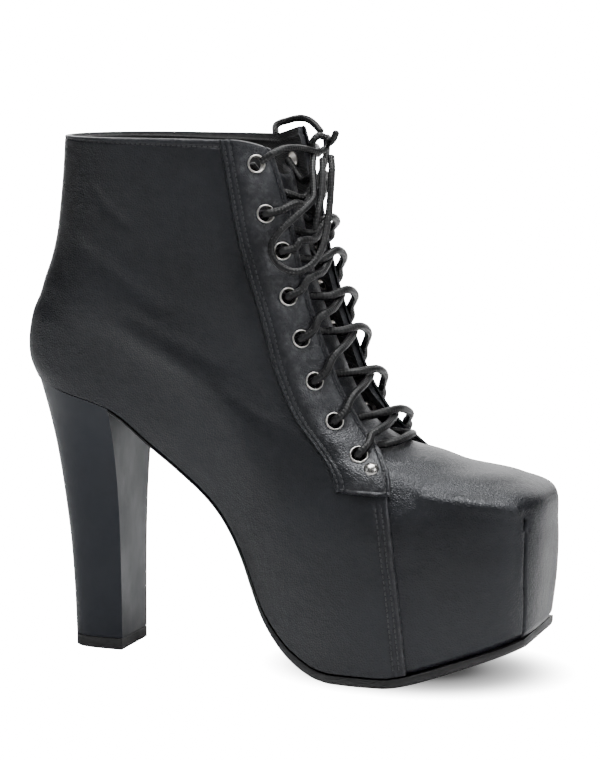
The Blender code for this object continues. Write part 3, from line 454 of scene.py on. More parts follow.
    def sample(self, side: Side, row: np.ndarray, share: np.ndarray,
               out: np.ndarray | float = 0.0) -> tuple[np.ndarray, np.ndarray]:
        """Points and normals on one side.

        Args:
            side: The side.
            row: Shares up the wall, 0 at the feather edge and 1 at the collar.
            share: Shares of the half girth, 0 at the back and 1 at the front.
            out: Distance to move out along the normal.

        Returns:
            The points, and the unit normals there.
        """
        points, normals = self.sides[side]
        row, share = np.broadcast_arrays(np.asarray(row, float), np.asarray(share, float))
        r = np.clip(row, 0, 1) * (self.dense - 1)
        c = np.clip(share, 0, 1) * (self.dense - 1)
        i = np.clip(np.floor(r).astype(int), 0, self.dense - 2)
        j = np.clip(np.floor(c).astype(int), 0, self.dense - 2)
        fr, fc = (r - i)[..., None], (c - j)[..., None]

        def mix(values: np.ndarray) -> np.ndarray:
            """A blend of the four grid values round each place.

            Args:
                values: The grid's values.

            Returns:
                The blends.
            """
            low = values[i, j] * (1 - fr) + values[i + 1, j] * fr
            high = values[i, j + 1] * (1 - fr) + values[i + 1, j + 1] * fr
            return low * (1 - fc) + high * fc

        normal = mix(normals)
        normal /= np.linalg.norm(normal, axis=-1)[..., None]
        return mix(points) + normal * np.asarray(out, float)[..., None], normal

    def girth(self, row: np.ndarray) -> np.ndarray:
        """Length of half the girth at shares up the wall."""
        return np.interp(row, np.linspace(0, 1, self.dense), self.girths)

    def place_in_side_view(self, side: Side, x: float,
                           z: float) -> tuple[np.ndarray, np.ndarray, float, float]:
        """Finds the place of one side that the side view shows at (x, z).

        Args:
            side: The side.
            x: Distance ahead of the origin.
            z: Height.

        Returns:
            The surface point, its normal, its row and its share.
        """
        points, normals = self.sides[side]
        miss = (points[..., 0] - x) ** 2 + (points[..., 2] - z) ** 2
        i, j = np.unravel_index(int(np.argmin(miss)), miss.shape)
        near, normal = points[i, j], normals[i, j]
        y = near[1] - (normal[0] * (x - near[0]) + normal[2] * (z - near[2])) / normal[1]
        return np.array((x, y, z)), normal, i / (self.dense - 1), j / (self.dense - 1)

    def eyelet_places(self, side: Side) -> list[tuple[np.ndarray, np.ndarray, float, float]]:
        """Centre, normal, row and share of each eyelet on one side, from the collar down."""
        height = self.sizes.collar_height
        return [self.place_in_side_view(side, self.along(a), r * height) for a, r in EYELETS]


class Canvas:
    """A material's node tree, with short calls for the nodes that the finishes use."""

    def __init__(self, name: str) -> None:
        """Starts an empty Principled material.

        Args:
            name: The material's name.
        """
        self.material = bpy.data.materials.new(name)
        self.material.use_nodes = True
        self.tree = self.material.node_tree
        self.shader = self.tree.nodes["Principled BSDF"]
        coordinates = self.tree.nodes.new("ShaderNodeTexCoord")
        self.place = coordinates.outputs["Object"]
        self.uv = coordinates.outputs["UV"]

    def node(self, kind: str, values: dict | None = None, **settings: object) -> bpy.types.Node:
        """Adds a node.

        Args:
            kind: Its type.
            values: Constants or outputs for its inputs.
            **settings: Its properties.

        Returns:
            The node.
        """
        node = self.tree.nodes.new(kind)
        for key, value in settings.items():
            setattr(node, key, value)
        for key, value in (values or {}).items():
            self.feed(node.inputs[key], value)
        return node

    def feed(self, socket: bpy.types.NodeSocket, value: object) -> None:
        """Links an output to a socket, or sets the socket's constant.

        Args:
            socket: The input.
            value: The output or constant.
        """
        if isinstance(value, bpy.types.NodeSocket):
            self.tree.links.new(value, socket)
        else:
            socket.default_value = value

    def noise(self, scale: float, detail: float = 3.0, vector: object = None) -> bpy.types.NodeSocket:
        """Fractal noise from 0 to 1, scale in cells a metre."""
        values = {"Vector": vector or self.place, "Scale": scale, "Detail": detail}
        return self.node("ShaderNodeTexNoise", values).outputs["Fac"]

    def cells(self, scale: float, feature: str = "DISTANCE_TO_EDGE") -> bpy.types.NodeSocket:
        """Distance to the nearest cell wall, scale in cells a metre."""
        values = {"Vector": self.place, "Scale": scale}
        return self.node("ShaderNodeTexVoronoi", values, feature=feature).outputs["Distance"]

    def span(self, value: object, low: float, high: float, to_low: float,
             to_high: float) -> bpy.types.NodeSocket:
        """Maps low..high softly onto to_low..to_high."""
        values = {"Value": value, "From Min": low, "From Max": high, "To Min": to_low, "To Max": to_high}
        return self.node("ShaderNodeMapRange", values, interpolation_type="SMOOTHSTEP").outputs["Result"]

    def math(self, operation: str, a: object, b: object = 0.0) -> bpy.types.NodeSocket:
        """One arithmetic step."""
        return self.node("ShaderNodeMath", {0: a, 1: b}, operation=operation).outputs[0]

    def mix(self, share: object, a: object, b: object) -> bpy.types.NodeSocket:
        """A blend of two colours.

        Args:
            share: 0 for all a, 1 for all b.
            a: A colour.
            b: The other colour.

        Returns:
            The blend.
        """
        node = self.tree.nodes.new("ShaderNodeMix")
        node.data_type = "RGBA"
        for name, value in (("Factor", share), ("A", a), ("B", b)):
            kind = "VALUE" if name == "Factor" else "RGBA"
            socket = next(s for s in node.inputs if s.name == name and s.type == kind)
            self.feed(socket, value)
        return next(s for s in node.outputs if s.type == "RGBA")

    def attribute(self, name: str) -> bpy.types.NodeSocket:
        """A mesh's own number at each point."""
        return self.node("ShaderNodeAttribute", attribute_name=name).outputs["Fac"]

    def bump(self, height: object, distance: float, below: object = None) -> bpy.types.NodeSocket:
        """A bump of the given depth, over another bump.

        Args:
            height: Its pattern, from 0 to 1.
            distance: Its depth in metres.
            below: The bump under it.

        Returns:
            The bent normal.
        """
        values = {"Height": height, "Distance": distance, "Strength": 1.0}
        if below is not None:
            values["Normal"] = below
        return self.node("ShaderNodeBump", values).outputs["Normal"]

    def finish(self, **inputs: object) -> bpy.types.Material:
        """Sets or links the shader's inputs.

        Args:
            **inputs: Values by the inputs' names, with underscores.

        Returns:
            The material.
        """
        for key, value in inputs.items():
            self.feed(self.shader.inputs[key.replace("_", " ")], value)
        return self.material


@dataclass(frozen=True)
class Leather:
    """Black coated leather with a fine pebbled grain."""

    name: str = "leather"
    dark: tuple = (0.0012, 0.0015, 0.0028, 1.0)
    pale: tuple = (0.0030, 0.0036, 0.0058, 1.0)
    worn_and_sheen: tuple = (0.085, 0.085, 0.090, 1.0)
    grain: float = 900.0
    grain_depth: float = 0.00010
    roughness: tuple = (0.33, 0.42)
    polish: float = 0.12

    def make(self) -> bpy.types.Material:
        """Makes it: two sizes of grain, slow changes of tone and gloss, and paler, glossier places of painted
        highlight and sheen, with some wear round the eyelets.

        Returns:
            The material.
        """
        c = Canvas(self.name)
        slow = c.noise(26.0, 3.0)
        pebbles = c.span(c.cells(self.grain), 0.0, 0.32, 0.0, 1.0)
        pores = c.noise(2600.0, 3.0)
        tone = c.mix(c.span(slow, 0.35, 0.68, 0.0, 1.0), self.dark, self.pale)
        # Painted highlights and sheen, with some wear: where wear_and_sheen is high the colour goes to a pale
        # grey and the roughness drops.
        wear_and_sheen = c.math("MULTIPLY", c.attribute("wear_and_sheen"), c.span(c.noise(420.0, 4.0), 0.40, 0.75, 0.25, 1.0))
        colour = c.mix(wear_and_sheen, tone, self.worn_and_sheen)
        gloss = c.math("ADD", c.span(slow, 0.3, 0.7, *self.roughness), c.span(pebbles, 0.0, 1.0, 0.06, 0.0))
        gloss = c.math("SUBTRACT", gloss, c.math("MULTIPLY", c.attribute("wear_and_sheen"), self.polish))
        rolling = c.bump(c.noise(75.0, 3.0), 0.0005)
        pulled = c.bump(c.noise(300.0, 2.0), 0.00012, rolling)
        grain = c.bump(pebbles, self.grain_depth, pulled)
        fine = c.bump(pores, 0.00002, grain)
        return c.finish(Base_Color=colour, Roughness=gloss, Normal=fine, Specular_IOR_Level=0.42,
                        Specular_Tint=(0.94, 0.96, 1.0, 1.0))


@dataclass(frozen=True)
class SmoothCover:
    """The heel's smooth black cover, satin with slow faint changes of tone and gloss."""

    name: str = "heel_cover"
    colour: tuple = (0.0022, 0.0028, 0.0052, 1.0)
    pale: tuple = (0.0040, 0.0048, 0.0080, 1.0)

    def make(self) -> bpy.types.Material:
        """Makes it: a faint fine grain and slow changes of gloss.

        Returns:
            The material.
        """
        c = Canvas(self.name)
        slow = c.noise(34.0, 3.0)
        colour = c.mix(c.span(slow, 0.35, 0.7, 0.0, 1.0), self.colour, self.pale)
        rolling = c.bump(c.noise(60.0, 2.0), 0.0004)
        fine = c.bump(c.noise(1700.0, 3.0), 0.00005, rolling)
        return c.finish(Base_Color=colour, Roughness=c.span(slow, 0.3, 0.7, 0.34, 0.44), Normal=fine,
                        Specular_IOR_Level=0.30, Specular_Tint=(0.86, 0.91, 1.0, 1.0))


@dataclass(frozen=True)
class Rubber:
    """Matt black sole rubber with a moulded crosswise tread under it."""

    name: str = "sole_rubber"
    colour: tuple = (0.0022, 0.0022, 0.0028, 1.0)
    tread: float = 2 * math.pi / 0.0042

    def make(self) -> bpy.types.Material:
        """Makes it: fine pitting, and ribs every 4.2 mm where the face looks down.

        Returns:
            The material.
        """
        c = Canvas(self.name)
        x = c.node("ShaderNodeSeparateXYZ", {0: c.place}).outputs["X"]
        ribs = c.math("SINE", c.math("MULTIPLY", x, self.tread))
        down = c.node("ShaderNodeSeparateXYZ", {0: c.node("ShaderNodeNewGeometry").outputs["True Normal"]})
        under = c.span(down.outputs["Z"], -0.95, -0.80, 1.0, 0.0)
        tread = c.bump(c.math("MULTIPLY", c.span(ribs, -0.3, 0.3, 0.0, 1.0), under), 0.0006)
        fine = c.bump(c.noise(900.0, 3.0), 0.00010, tread)
        haze = c.span(c.noise(60.0), 0.3, 0.7, 0.50, 0.66)
        return c.finish(Base_Color=self.colour, Roughness=haze, Normal=fine)


@dataclass(frozen=True)
class Lining:
    """Dark knitted lining."""

    name: str = "lining"
    dark: tuple = (0.020, 0.020, 0.021, 1.0)
    pale: tuple = (0.060, 0.060, 0.060, 1.0)
    wales: float = 7000.0
    courses: float = 6200.0

    def make(self) -> bpy.types.Material:
        """Makes it: a fine knit, the product of a sine across and a sine down.

        Returns:
            The material.
        """
        c = Canvas(self.name)
        split = c.node("ShaderNodeSeparateXYZ", {0: c.place})
        level = c.math("ADD", split.outputs["X"], split.outputs["Y"])
        across = c.math("SINE", c.math("MULTIPLY", level, self.wales))
        down = c.math("SINE", c.math("MULTIPLY", split.outputs["Z"], self.courses))
        knit = c.span(c.math("MULTIPLY", across, down), -0.6, 0.6, 0.0, 1.0)
        colour = c.mix(c.math("MULTIPLY", knit, c.noise(500.0)), self.dark, self.pale)
        return c.finish(Base_Color=colour, Roughness=0.85, Normal=c.bump(knit, 0.0002), Sheen_Weight=0.2)


@dataclass(frozen=True)
class WaxedLace:
    """Round waxed lace: a tight dark braid with pale flecks."""

    name: str = "waxed_lace"
    dark: tuple = (0.0010, 0.0011, 0.0015, 1.0)
    fleck: tuple = (0.12, 0.12, 0.12, 1.0)
    pitch: float = 0.0030
    strands: float = 4.0

    def make(self) -> bpy.types.Material:
        """Makes it: two opposed spirals of strands in the tube's own UV, v in metres.

        Returns:
            The material.
        """
        c = Canvas(self.name)
        split = c.node("ShaderNodeSeparateXYZ", {0: c.uv})
        turn = c.math("MULTIPLY", split.outputs["X"], 2 * math.pi * self.strands)
        run = c.math("MULTIPLY", split.outputs["Y"], 2 * math.pi / self.pitch)
        left = c.math("SINE", c.math("ADD", turn, run))
        right = c.math("SINE", c.math("SUBTRACT", turn, run))
        braid = c.math("MULTIPLY", left, right)
        strand = c.span(braid, -0.5, 0.8, 0.0, 1.0)
        crowns = c.span(braid, 0.60, 0.95, 0.0, 1.0)
        patches = c.span(c.noise(300.0, 2.0), 0.52, 0.66, 0.0, 0.8)
        flecked = c.math("MULTIPLY", crowns, patches)
        colour = c.mix(flecked, self.dark, self.fleck)
        normal = c.bump(c.noise(2600.0, 2.0), 0.00005, c.bump(strand, 0.00014))
        return c.finish(Base_Color=colour, Roughness=c.span(strand, 0.0, 1.0, 0.50, 0.34), Normal=normal,
                        Specular_IOR_Level=0.36)


@dataclass(frozen=True)
class Nickel:
    """Bright nickel plate with a slight haze."""

    name: str = "nickel"
    colour: tuple = (0.64, 0.62, 0.59, 1.0)
    roughness: tuple = (0.28, 0.38)

    def make(self) -> bpy.types.Material:
        """Makes it: metal with a fine haze in its gloss and a faint bump.

        Returns:
            The material.
        """
        c = Canvas(self.name)
        haze = c.noise(900.0, 4.0)
        gloss = c.span(haze, 0.3, 0.7, *self.roughness)
        return c.finish(Base_Color=self.colour, Metallic=1.0, Roughness=gloss, Normal=c.bump(haze, 0.000003))


@dataclass(frozen=True)
class Thread:
    """Black bonded sewing thread."""

    name: str = "thread"
    colour: tuple = (0.0190, 0.0195, 0.0220, 1.0)

    def make(self) -> bpy.types.Material:
        """Makes it: satin, with a fine twist.

        Returns:
            The material.
        """
        c = Canvas(self.name)
        return c.finish(Base_Color=self.colour, Roughness=c.span(c.noise(1500.0), 0.3, 0.7, 0.34, 0.5),
                        Normal=c.bump(c.noise(3200.0, 2.0), 0.00006))


class Finishes:
    """All the materials, each made once."""

    def __init__(self) -> None:
        """Makes the materials."""
        self.leather = Leather().make()
        self.heel = SmoothCover().make()
        self.rubber = Rubber().make()
        self.lining = Lining().make()
        self.lace = WaxedLace().make()
        self.nickel = Nickel().make()
        self.stud = Nickel("burnished_nickel", (0.34, 0.33, 0.32, 1.0), (0.20, 0.30)).make()
        self.thread = Thread().make()


@dataclass
class Piece:
    """Arrays of a piece before it becomes an object."""

    name: str
    points: np.ndarray
    faces: list
    materials: tuple
    slots: np.ndarray | None = None
    uv: np.ndarray | None = None
    # Pale painted highlights and sheen, with some wear, at each point: the leather's wear_and_sheen
    # attribute.
    wear_and_sheen: np.ndarray | None = None
    sharp: float = 50.0

    def build(self, slot: str, replaces: tuple = ()) -> bpy.types.Object:
        """Makes the object, riding on the boot.

        Args:
            slot: Not used.
            replaces: CAD nodes that it stands for.

        Returns:
            The object, at the origin.
        """
        mesh = bpy.data.meshes.new(self.name)
        mesh.from_pydata(self.points.tolist(), [], self.faces)
        for material in self.materials:
            mesh.materials.append(material)
        if self.slots is not None:
            mesh.polygons.foreach_set("material_index", self.slots.astype(np.int32))
        if self.uv is not None:
            layer = mesh.uv_layers.new(name="UVMap")
            layer.data.foreach_set("uv", self.uv.astype(np.float32).ravel())
        if self.wear_and_sheen is not None:
            wear_and_sheen = mesh.attributes.new("wear_and_sheen", "FLOAT", "POINT")
            wear_and_sheen.data.foreach_set("value", self.wear_and_sheen.astype(np.float32))
        mesh.update()
        mesh.shade_smooth()
        mesh.set_sharp_from_angle(angle=math.radians(self.sharp))
        thing = bpy.data.objects.new(self.name, mesh)
        bpy.context.scene.collection.objects.link(thing)
        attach(thing, "root")
        if replaces:
            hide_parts(*replaces)
        LOG.info("%s: %d faces", self.name, len(self.faces))
        return thing


def grid_quads(rows: int, columns: int, wrap: bool = False) -> np.ndarray:
    """Quads of a grid of points stored row by row.

    Args:
        rows: Its rows.
        columns: Its columns.
        wrap: Whether the last column meets the first.

    Returns:
        The quads, from row r to r+1 and column c to c+1.
    """
    r, c = np.meshgrid(np.arange(rows - 1), np.arange(columns if wrap else columns - 1), indexing="ij")
    n = (c + 1) % columns
    quads = np.stack([r * columns + c, r * columns + n, (r + 1) * columns + n, (r + 1) * columns + c], -1)
    return quads.reshape(-1, 4)


def facing_out(points: np.ndarray, faces: np.ndarray) -> np.ndarray:
    """The faces turned over if the closed form that they make is inside out.

    The signed volume is a sixth of the sum of a . (b x c) over the triangles of the quads.

    Args:
        points: The form's points.
        faces: Its quads.

    Returns:
        The quads, themselves where they faced out.
    """
    a, b, c, d = (points[faces[:, k]] for k in range(4))
    volume = np.einsum("ij,ij->", a, np.cross(b, c)) + np.einsum("ij,ij->", a, np.cross(c, d))
    return faces if volume > 0 else faces[:, ::-1]


def shell(name: str, outer: np.ndarray, inner: np.ndarray, materials: tuple, keep: np.ndarray | None = None,
          wear_and_sheen: np.ndarray | None = None) -> Piece:
    """A closed shell between two grids, open where faces are left out.

    Args:
        name: The piece's name.
        outer: Outer points, [row][column][xyz].
        inner: Inner points, the same shape.
        materials: Outer and inner material.
        keep: Which faces of the grid to keep, [row][column].
        wear_and_sheen: A number at each outer point: how far the leather goes to its pale painted sheen and
            wear.

    Returns:
        The piece, with the cut edges closed by a band of faces.
    """
    rows, columns = outer.shape[:2]
    quads = grid_quads(rows, columns)
    if keep is not None:
        quads = quads[keep.reshape(-1)]
    count = rows * columns
    points = np.concatenate([outer.reshape(-1, 3), inner.reshape(-1, 3)])
    edges = np.concatenate([quads[:, [k, (k + 1) % 4]] for k in range(4)])
    keys = edges.min(axis=1) * count + edges.max(axis=1)
    _, first, times = np.unique(keys, return_index=True, return_counts=True)
    rim = edges[first[times == 1]]
    band = np.stack([rim[:, 1], rim[:, 0], rim[:, 0] + count, rim[:, 1] + count], 1)
    faces = np.concatenate([quads, quads[:, ::-1] + count, band])
    turned = facing_out(points, faces)
    slots = np.zeros(len(faces), int)
    slots[len(quads):2 * len(quads)] = 1 if len(materials) > 1 else 0
    used = np.unique(turned)
    renumber = np.zeros(2 * count, int)
    renumber[used] = np.arange(len(used))
    both = None if wear_and_sheen is None else np.concatenate([wear_and_sheen.reshape(-1), np.zeros(count)])[used]
    return Piece(name, points[used], renumber[turned].tolist(), materials, slots, wear_and_sheen=both)


def loft(name: str, sections: np.ndarray, material: bpy.types.Material, sharp: float) -> Piece:
    """A loft through closed sections, with its two ends closed.

    Args:
        name: The piece's name.
        sections: Its sections, [section][point][xyz].
        material: Its material.
        sharp: Angle in degrees past which an edge is sharp.

    Returns:
        The piece.
    """
    rows, around = sections.shape[:2]
    flat = sections.reshape(-1, 3)
    quads = grid_quads(rows, around, True)
    turned = facing_out(flat, quads)
    ends = [list(range(around)), list(range(rows * around - 1, (rows - 1) * around - 1, -1))]
    if turned is quads:
        ends = [end[::-1] for end in ends]
    return Piece(name, flat, turned.tolist() + ends, (material,), sharp=sharp)


def smooth_path(points: np.ndarray, spacing: float) -> np.ndarray:
    """A smooth curve through points (centripetal Catmull-Rom).

    Args:
        points: The points.
        spacing: Distance between the curve's own points.

    Returns:
        The curve's evenly spaced points.
    """
    p = np.asarray(points, float)
    p = np.concatenate([[2 * p[0] - p[1]], p, [2 * p[-1] - p[-2]]])
    knots = np.concatenate([[0], np.cumsum(np.sqrt(np.linalg.norm(np.diff(p, axis=0), axis=1)))])
    pieces = []
    for k in range(1, len(p) - 2):
        t = np.linspace(knots[k], knots[k + 1], 24, endpoint=k == len(p) - 3)[:, None]
        t0, t1, t2, t3 = knots[k - 1:k + 3]
        a1 = (t1 - t) / (t1 - t0) * p[k - 1] + (t - t0) / (t1 - t0) * p[k]
        a2 = (t2 - t) / (t2 - t1) * p[k] + (t - t1) / (t2 - t1) * p[k + 1]
        a3 = (t3 - t) / (t3 - t2) * p[k + 1] + (t - t2) / (t3 - t2) * p[k + 2]
        b1 = (t2 - t) / (t2 - t0) * a1 + (t - t0) / (t2 - t0) * a2
        b2 = (t3 - t) / (t3 - t1) * a2 + (t - t1) / (t3 - t1) * a3
        pieces.append((t2 - t) / (t2 - t1) * b1 + (t - t1) / (t2 - t1) * b2)
    fine = np.concatenate(pieces)
    run = np.concatenate([[0], np.cumsum(np.linalg.norm(np.diff(fine, axis=0), axis=1))])
    at = np.linspace(0, run[-1], max(3, int(round(run[-1] / spacing)) + 1))
    return np.stack([np.interp(at, run, fine[:, k]) for k in range(3)], 1)


def path_length(path: np.ndarray) -> float:
    """Length of a path."""
    return float(np.linalg.norm(np.diff(path, axis=0), axis=1).sum())


def tube_arrays(path: np.ndarray, radius: float,
                sides: int = 14) -> tuple[np.ndarray, np.ndarray, list, np.ndarray]:
    """A round tube along a path, closed by a small dome at each end.

    Each ring is cos(a) * side + sin(a) * other, the side carried along the path without a turn.

    Args:
        path: Its centre line.
        radius: Its radius.
        sides: Points round it.

    Returns:
        Points, quads, end polygons, and the UV of each quad's corners (turn, metres along).
    """
    ahead = np.gradient(path, axis=0)
    ahead /= np.linalg.norm(ahead, axis=1)[:, None]
    frame_side = np.cross(ahead[0], (0.13, 0.21, 0.97))
    sides_out = np.empty_like(path)
    for k, forward in enumerate(ahead):
        frame_side = frame_side - forward * np.dot(frame_side, forward)
        frame_side /= np.linalg.norm(frame_side)
        sides_out[k] = frame_side
    other = np.cross(ahead, sides_out)
    angle = np.arange(sides) * 2 * math.pi / sides
    ring = np.cos(angle)[None, :, None] * sides_out[:, None] + np.sin(angle)[None, :, None] * other[:, None]
    caps = [(0.45, -0.55), (0.85, -0.22)]
    centres = np.concatenate([[path[0] + ahead[0] * radius * d for _, d in caps], path,
                              [path[-1] - ahead[-1] * radius * d for _, d in caps[::-1]]])
    rings = np.concatenate([ring[:1], ring[:1], ring, ring[-1:], ring[-1:]])
    sizes = np.concatenate([[s for s, _ in caps], np.ones(len(path)), [s for s, _ in caps[::-1]]]) * radius
    points = centres[:, None] + rings * sizes[:, None, None]
    count = len(centres)
    quads = grid_quads(count, sides, True)
    run = np.concatenate([[0], np.cumsum(np.linalg.norm(np.diff(centres, axis=0), axis=1))])
    r, c = np.meshgrid(np.arange(count - 1), np.arange(sides), indexing="ij")
    turn = np.stack([c, c + 1, c + 1, c], -1) / sides
    along = np.stack([run[r], run[r], run[r + 1], run[r + 1]], -1)
    uv = np.stack([turn, along], -1).reshape(-1, 2)
    flat = points.reshape(-1, 3)
    ends = [list(range(sides - 1, -1, -1)), list(range((count - 1) * sides, count * sides))]
    return flat, quads, ends, uv


def tubes(name: str, paths: list, radius: float, material: bpy.types.Material, sides: int = 14) -> Piece:
    """Round tubes along several paths, joined in one piece.

    Args:
        name: The piece's name.
        paths: The tubes' centre lines.
        radius: Their radius.
        material: Their material.
        sides: Points round each.

    Returns:
        The piece.
    """
    points, faces, uvs, first = [], [], [], 0
    for path in paths:
        flat, quads, ends, uv = tube_arrays(path, radius, sides)
        points.append(flat)
        faces += (quads + first).tolist() + [[v + first for v in end] for end in ends]
        uvs.append(np.concatenate([uv, np.zeros((2 * sides, 2))]))
        first += len(flat)
    return Piece(name, np.concatenate(points), faces, (material,), uv=np.concatenate(uvs))


def turned_arrays(profile: np.ndarray, centre: np.ndarray, normal: np.ndarray,
                  segments: int) -> tuple[np.ndarray, np.ndarray]:
    """A closed profile spun about a normal: point = centre + radius * out(a) + height * normal.

    Args:
        profile: Its (radius, height) points.
        centre: The place of its height 0.
        normal: Its axis.
        segments: Steps round it.

    Returns:
        Points and quads.
    """
    normal = np.asarray(normal, float)
    side = np.cross(normal, (0.0, 0.0, 1.0))
    side /= np.linalg.norm(side)
    other = np.cross(normal, side)
    angle = np.arange(segments) * 2 * math.pi / segments
    out = np.cos(angle)[:, None] * side + np.sin(angle)[:, None] * other
    profile = np.asarray(profile, float)
    points = centre + out[:, None] * profile[None, :, :1] + normal * profile[None, :, 1:]
    k, i = np.meshgrid(np.arange(segments), np.arange(len(profile)), indexing="ij")
    n, j = (k + 1) % segments, (i + 1) % len(profile)
    width = len(profile)
    quads = np.stack([k * width + i, n * width + i, n * width + j, k * width + j], -1).reshape(-1, 4)
    flat = points.reshape(-1, 3)
    return flat, facing_out(flat, quads)


class SurfaceLine:
    """A smooth line over one side of the boot."""

    def __init__(self, surface: LastSurface, side: Side, stops: tuple, spacing: float = 0.0010) -> None:
        """Runs a smooth line through (row, share) stops.

        Args:
            surface: The boot's surface.
            side: The side that it lies on.
            stops: Its (row, share) stops.
            spacing: Distance between its points.
        """
        scale = np.array((0.28, 0.22))
        flat = smooth_path(np.pad(np.array(stops) * scale, ((0, 0), (0, 1))), spacing)[:, :2] / scale
        self.rows, self.shares = flat.T
        self.points, self.normals = surface.sample(side, self.rows, self.shares)

    def near(self, points: np.ndarray) -> tuple[np.ndarray, np.ndarray]:
        """Distance to the line, and the share of its length where it is nearest.

        Args:
            points: Points, any shape with xyz last.

        Returns:
            Distances and shares, without the last axis.
        """
        flat = points.reshape(-1, 3)
        square = ((flat**2).sum(1)[:, None] + (self.points**2).sum(1)[None] - 2 * flat @ self.points.T)
        nearest = square.argmin(axis=1)
        distance = np.sqrt(np.clip(square[np.arange(len(flat)), nearest], 0, None))
        share = nearest / (len(self.points) - 1)
        return distance.reshape(points.shape[:-1]), share.reshape(points.shape[:-1])


@dataclass(frozen=True)
class Crease:
    """A soft trough (below zero) or ridge (above) along a line, in the boot's own shares.

    Its height is depth * exp(-(distance / width)^2), faded to nothing at both ends.
    """

    stops: tuple
    depth: float
    width: float
    sides: tuple = (Side.LATERAL, Side.MEDIAL)
    fade: float = 0.18


TOE_DART = ((0.199, 0.919), (0.168, 0.916), (0.120, 0.915), (0.047, 0.924), (0.000, 0.930))

CREASES = (
    Crease(TOE_DART, -0.0019, 0.00075, fade=0.02),
    Crease(((0.210, 0.921), (0.199, 0.919), (0.178, 0.917)), -0.0014, 0.0024),
    Crease(((0.206, 0.909), (0.160, 0.906), (0.090, 0.908)), 0.0006, 0.0020),
    Crease(((0.312, 0.790), (0.262, 0.850), (0.207, 0.914)), 0.0014, 0.0036, fade=0.10),
    Crease(((0.860, 0.270), (0.800, 0.330), (0.765, 0.400)), -0.00045, 0.0026),
    Crease(((0.640, 0.180), (0.610, 0.330), (0.595, 0.470)), -0.00060, 0.0045),
    Crease(((0.500, 0.300), (0.520, 0.440), (0.545, 0.580)), -0.00060, 0.0040),
    Crease(((0.430, 0.480), (0.455, 0.580), (0.470, 0.660)), -0.00050, 0.0034),
    Crease(((0.330, 0.800), (0.352, 0.850), (0.360, 0.900)), -0.00050, 0.0030),
)


class Relief:
    """Creases, troughs and ridges of the leather."""

    def __init__(self, surface: LastSurface, creases: tuple = CREASES) -> None:
        """Lays the creases over both sides.

        Args:
            surface: The boot's surface.
            creases: The creases.
        """
        self.surface = surface
        self.lines = [(crease, side, SurfaceLine(surface, side, crease.stops))
                      for crease in creases for side in crease.sides]

    def height(self, side: Side, points: np.ndarray) -> np.ndarray:
        """Height of the relief: the sum over the creases of depth * exp(-(distance / width)^2).

        Args:
            side: The side.
            points: Points of its bare surface.

        Returns:
            A height at each point.
        """
        total = np.zeros(points.shape[:-1])
        for crease, where, line in self.lines:
            if where is side:
                distance, share = line.near(points)
                ends = ease(share, 0, crease.fade) * (1 - ease(share, 1 - crease.fade, 1))
                total += crease.depth * np.exp(-(distance / crease.width) ** 2) * ends
        return total


@dataclass(frozen=True)
class QuarterSizes:
    """Sizes of a quarter, in metres, and the shares of the wall and girth where it changes."""

    step: float = 0.0010
    wall: float = 0.0019
    skin: float = 0.00008
    height: float = 0.27
    edge_round: float = 0.0010
    top_round: float = 0.0014
    top_drop: float = 0.0009
    eyelet_hole: float = 0.0039
    seam_rows: tuple = (0.0030, 0.0056)
    collar_row: float = 0.00351
    fold: float = 0.0005
    fold_edge: tuple = (0.0009, 0.0016)
    groove: float = 0.00050
    groove_width: float = 0.00060
    throat_foot: tuple = (0.30, 0.32)
    thin_shares: tuple = (0.060, 0.035)
    thin_rows: tuple = (0.50, 0.56)
    # Painted highlight: a pale glossy band along the top edge and along the folded edge at the vamp seam.
    rim_highlight: float = 0.6
    rim_highlight_widths: tuple = (0.0010, 0.0012)
    rows: int = 196
    top_rows: int = 34
    columns: int = 112
    edge_columns: int = 66


class BootMaker:
    """What every sub-assembly shares: the surface, its relief and the finishes."""

    def __init__(self, surface: LastSurface, relief: Relief, finishes: Finishes) -> None:
        """Keeps what the sub-assemblies share.

        Args:
            surface: The boot's surface.
            relief: Its creases.
            finishes: The materials.
        """
        self.surface = surface
        self.relief = relief
        self.finishes = finishes

    def front_edge(self, row: np.ndarray) -> np.ndarray:
        """Share of the half girth where the quarter ends in front: vamp seam, then throat.

        Args:
            row: Shares up the wall.

        Returns:
            Shares of the half girth.
        """
        row = np.asarray(row, float)
        seam = smooth_through(row, VAMP_SEAM)
        throat = smooth_through(row, FACING_FRONT) - 0.005
        return np.where(row < VAMP_SEAM[-1][0], seam, np.maximum(throat, VAMP_SEAM[-1][1]))

    def on_feather(self, points: np.ndarray) -> np.ndarray:
        """Sets the first row of a grid down on the feather line.

        Args:
            points: The grid, [row][column][xyz].

        Returns:
            The same grid.
        """
        x = points[0, :, 0]
        points[0, :, 2] = self.surface.feather(x) + 0.0003 * self.surface.slant(x)
        return points


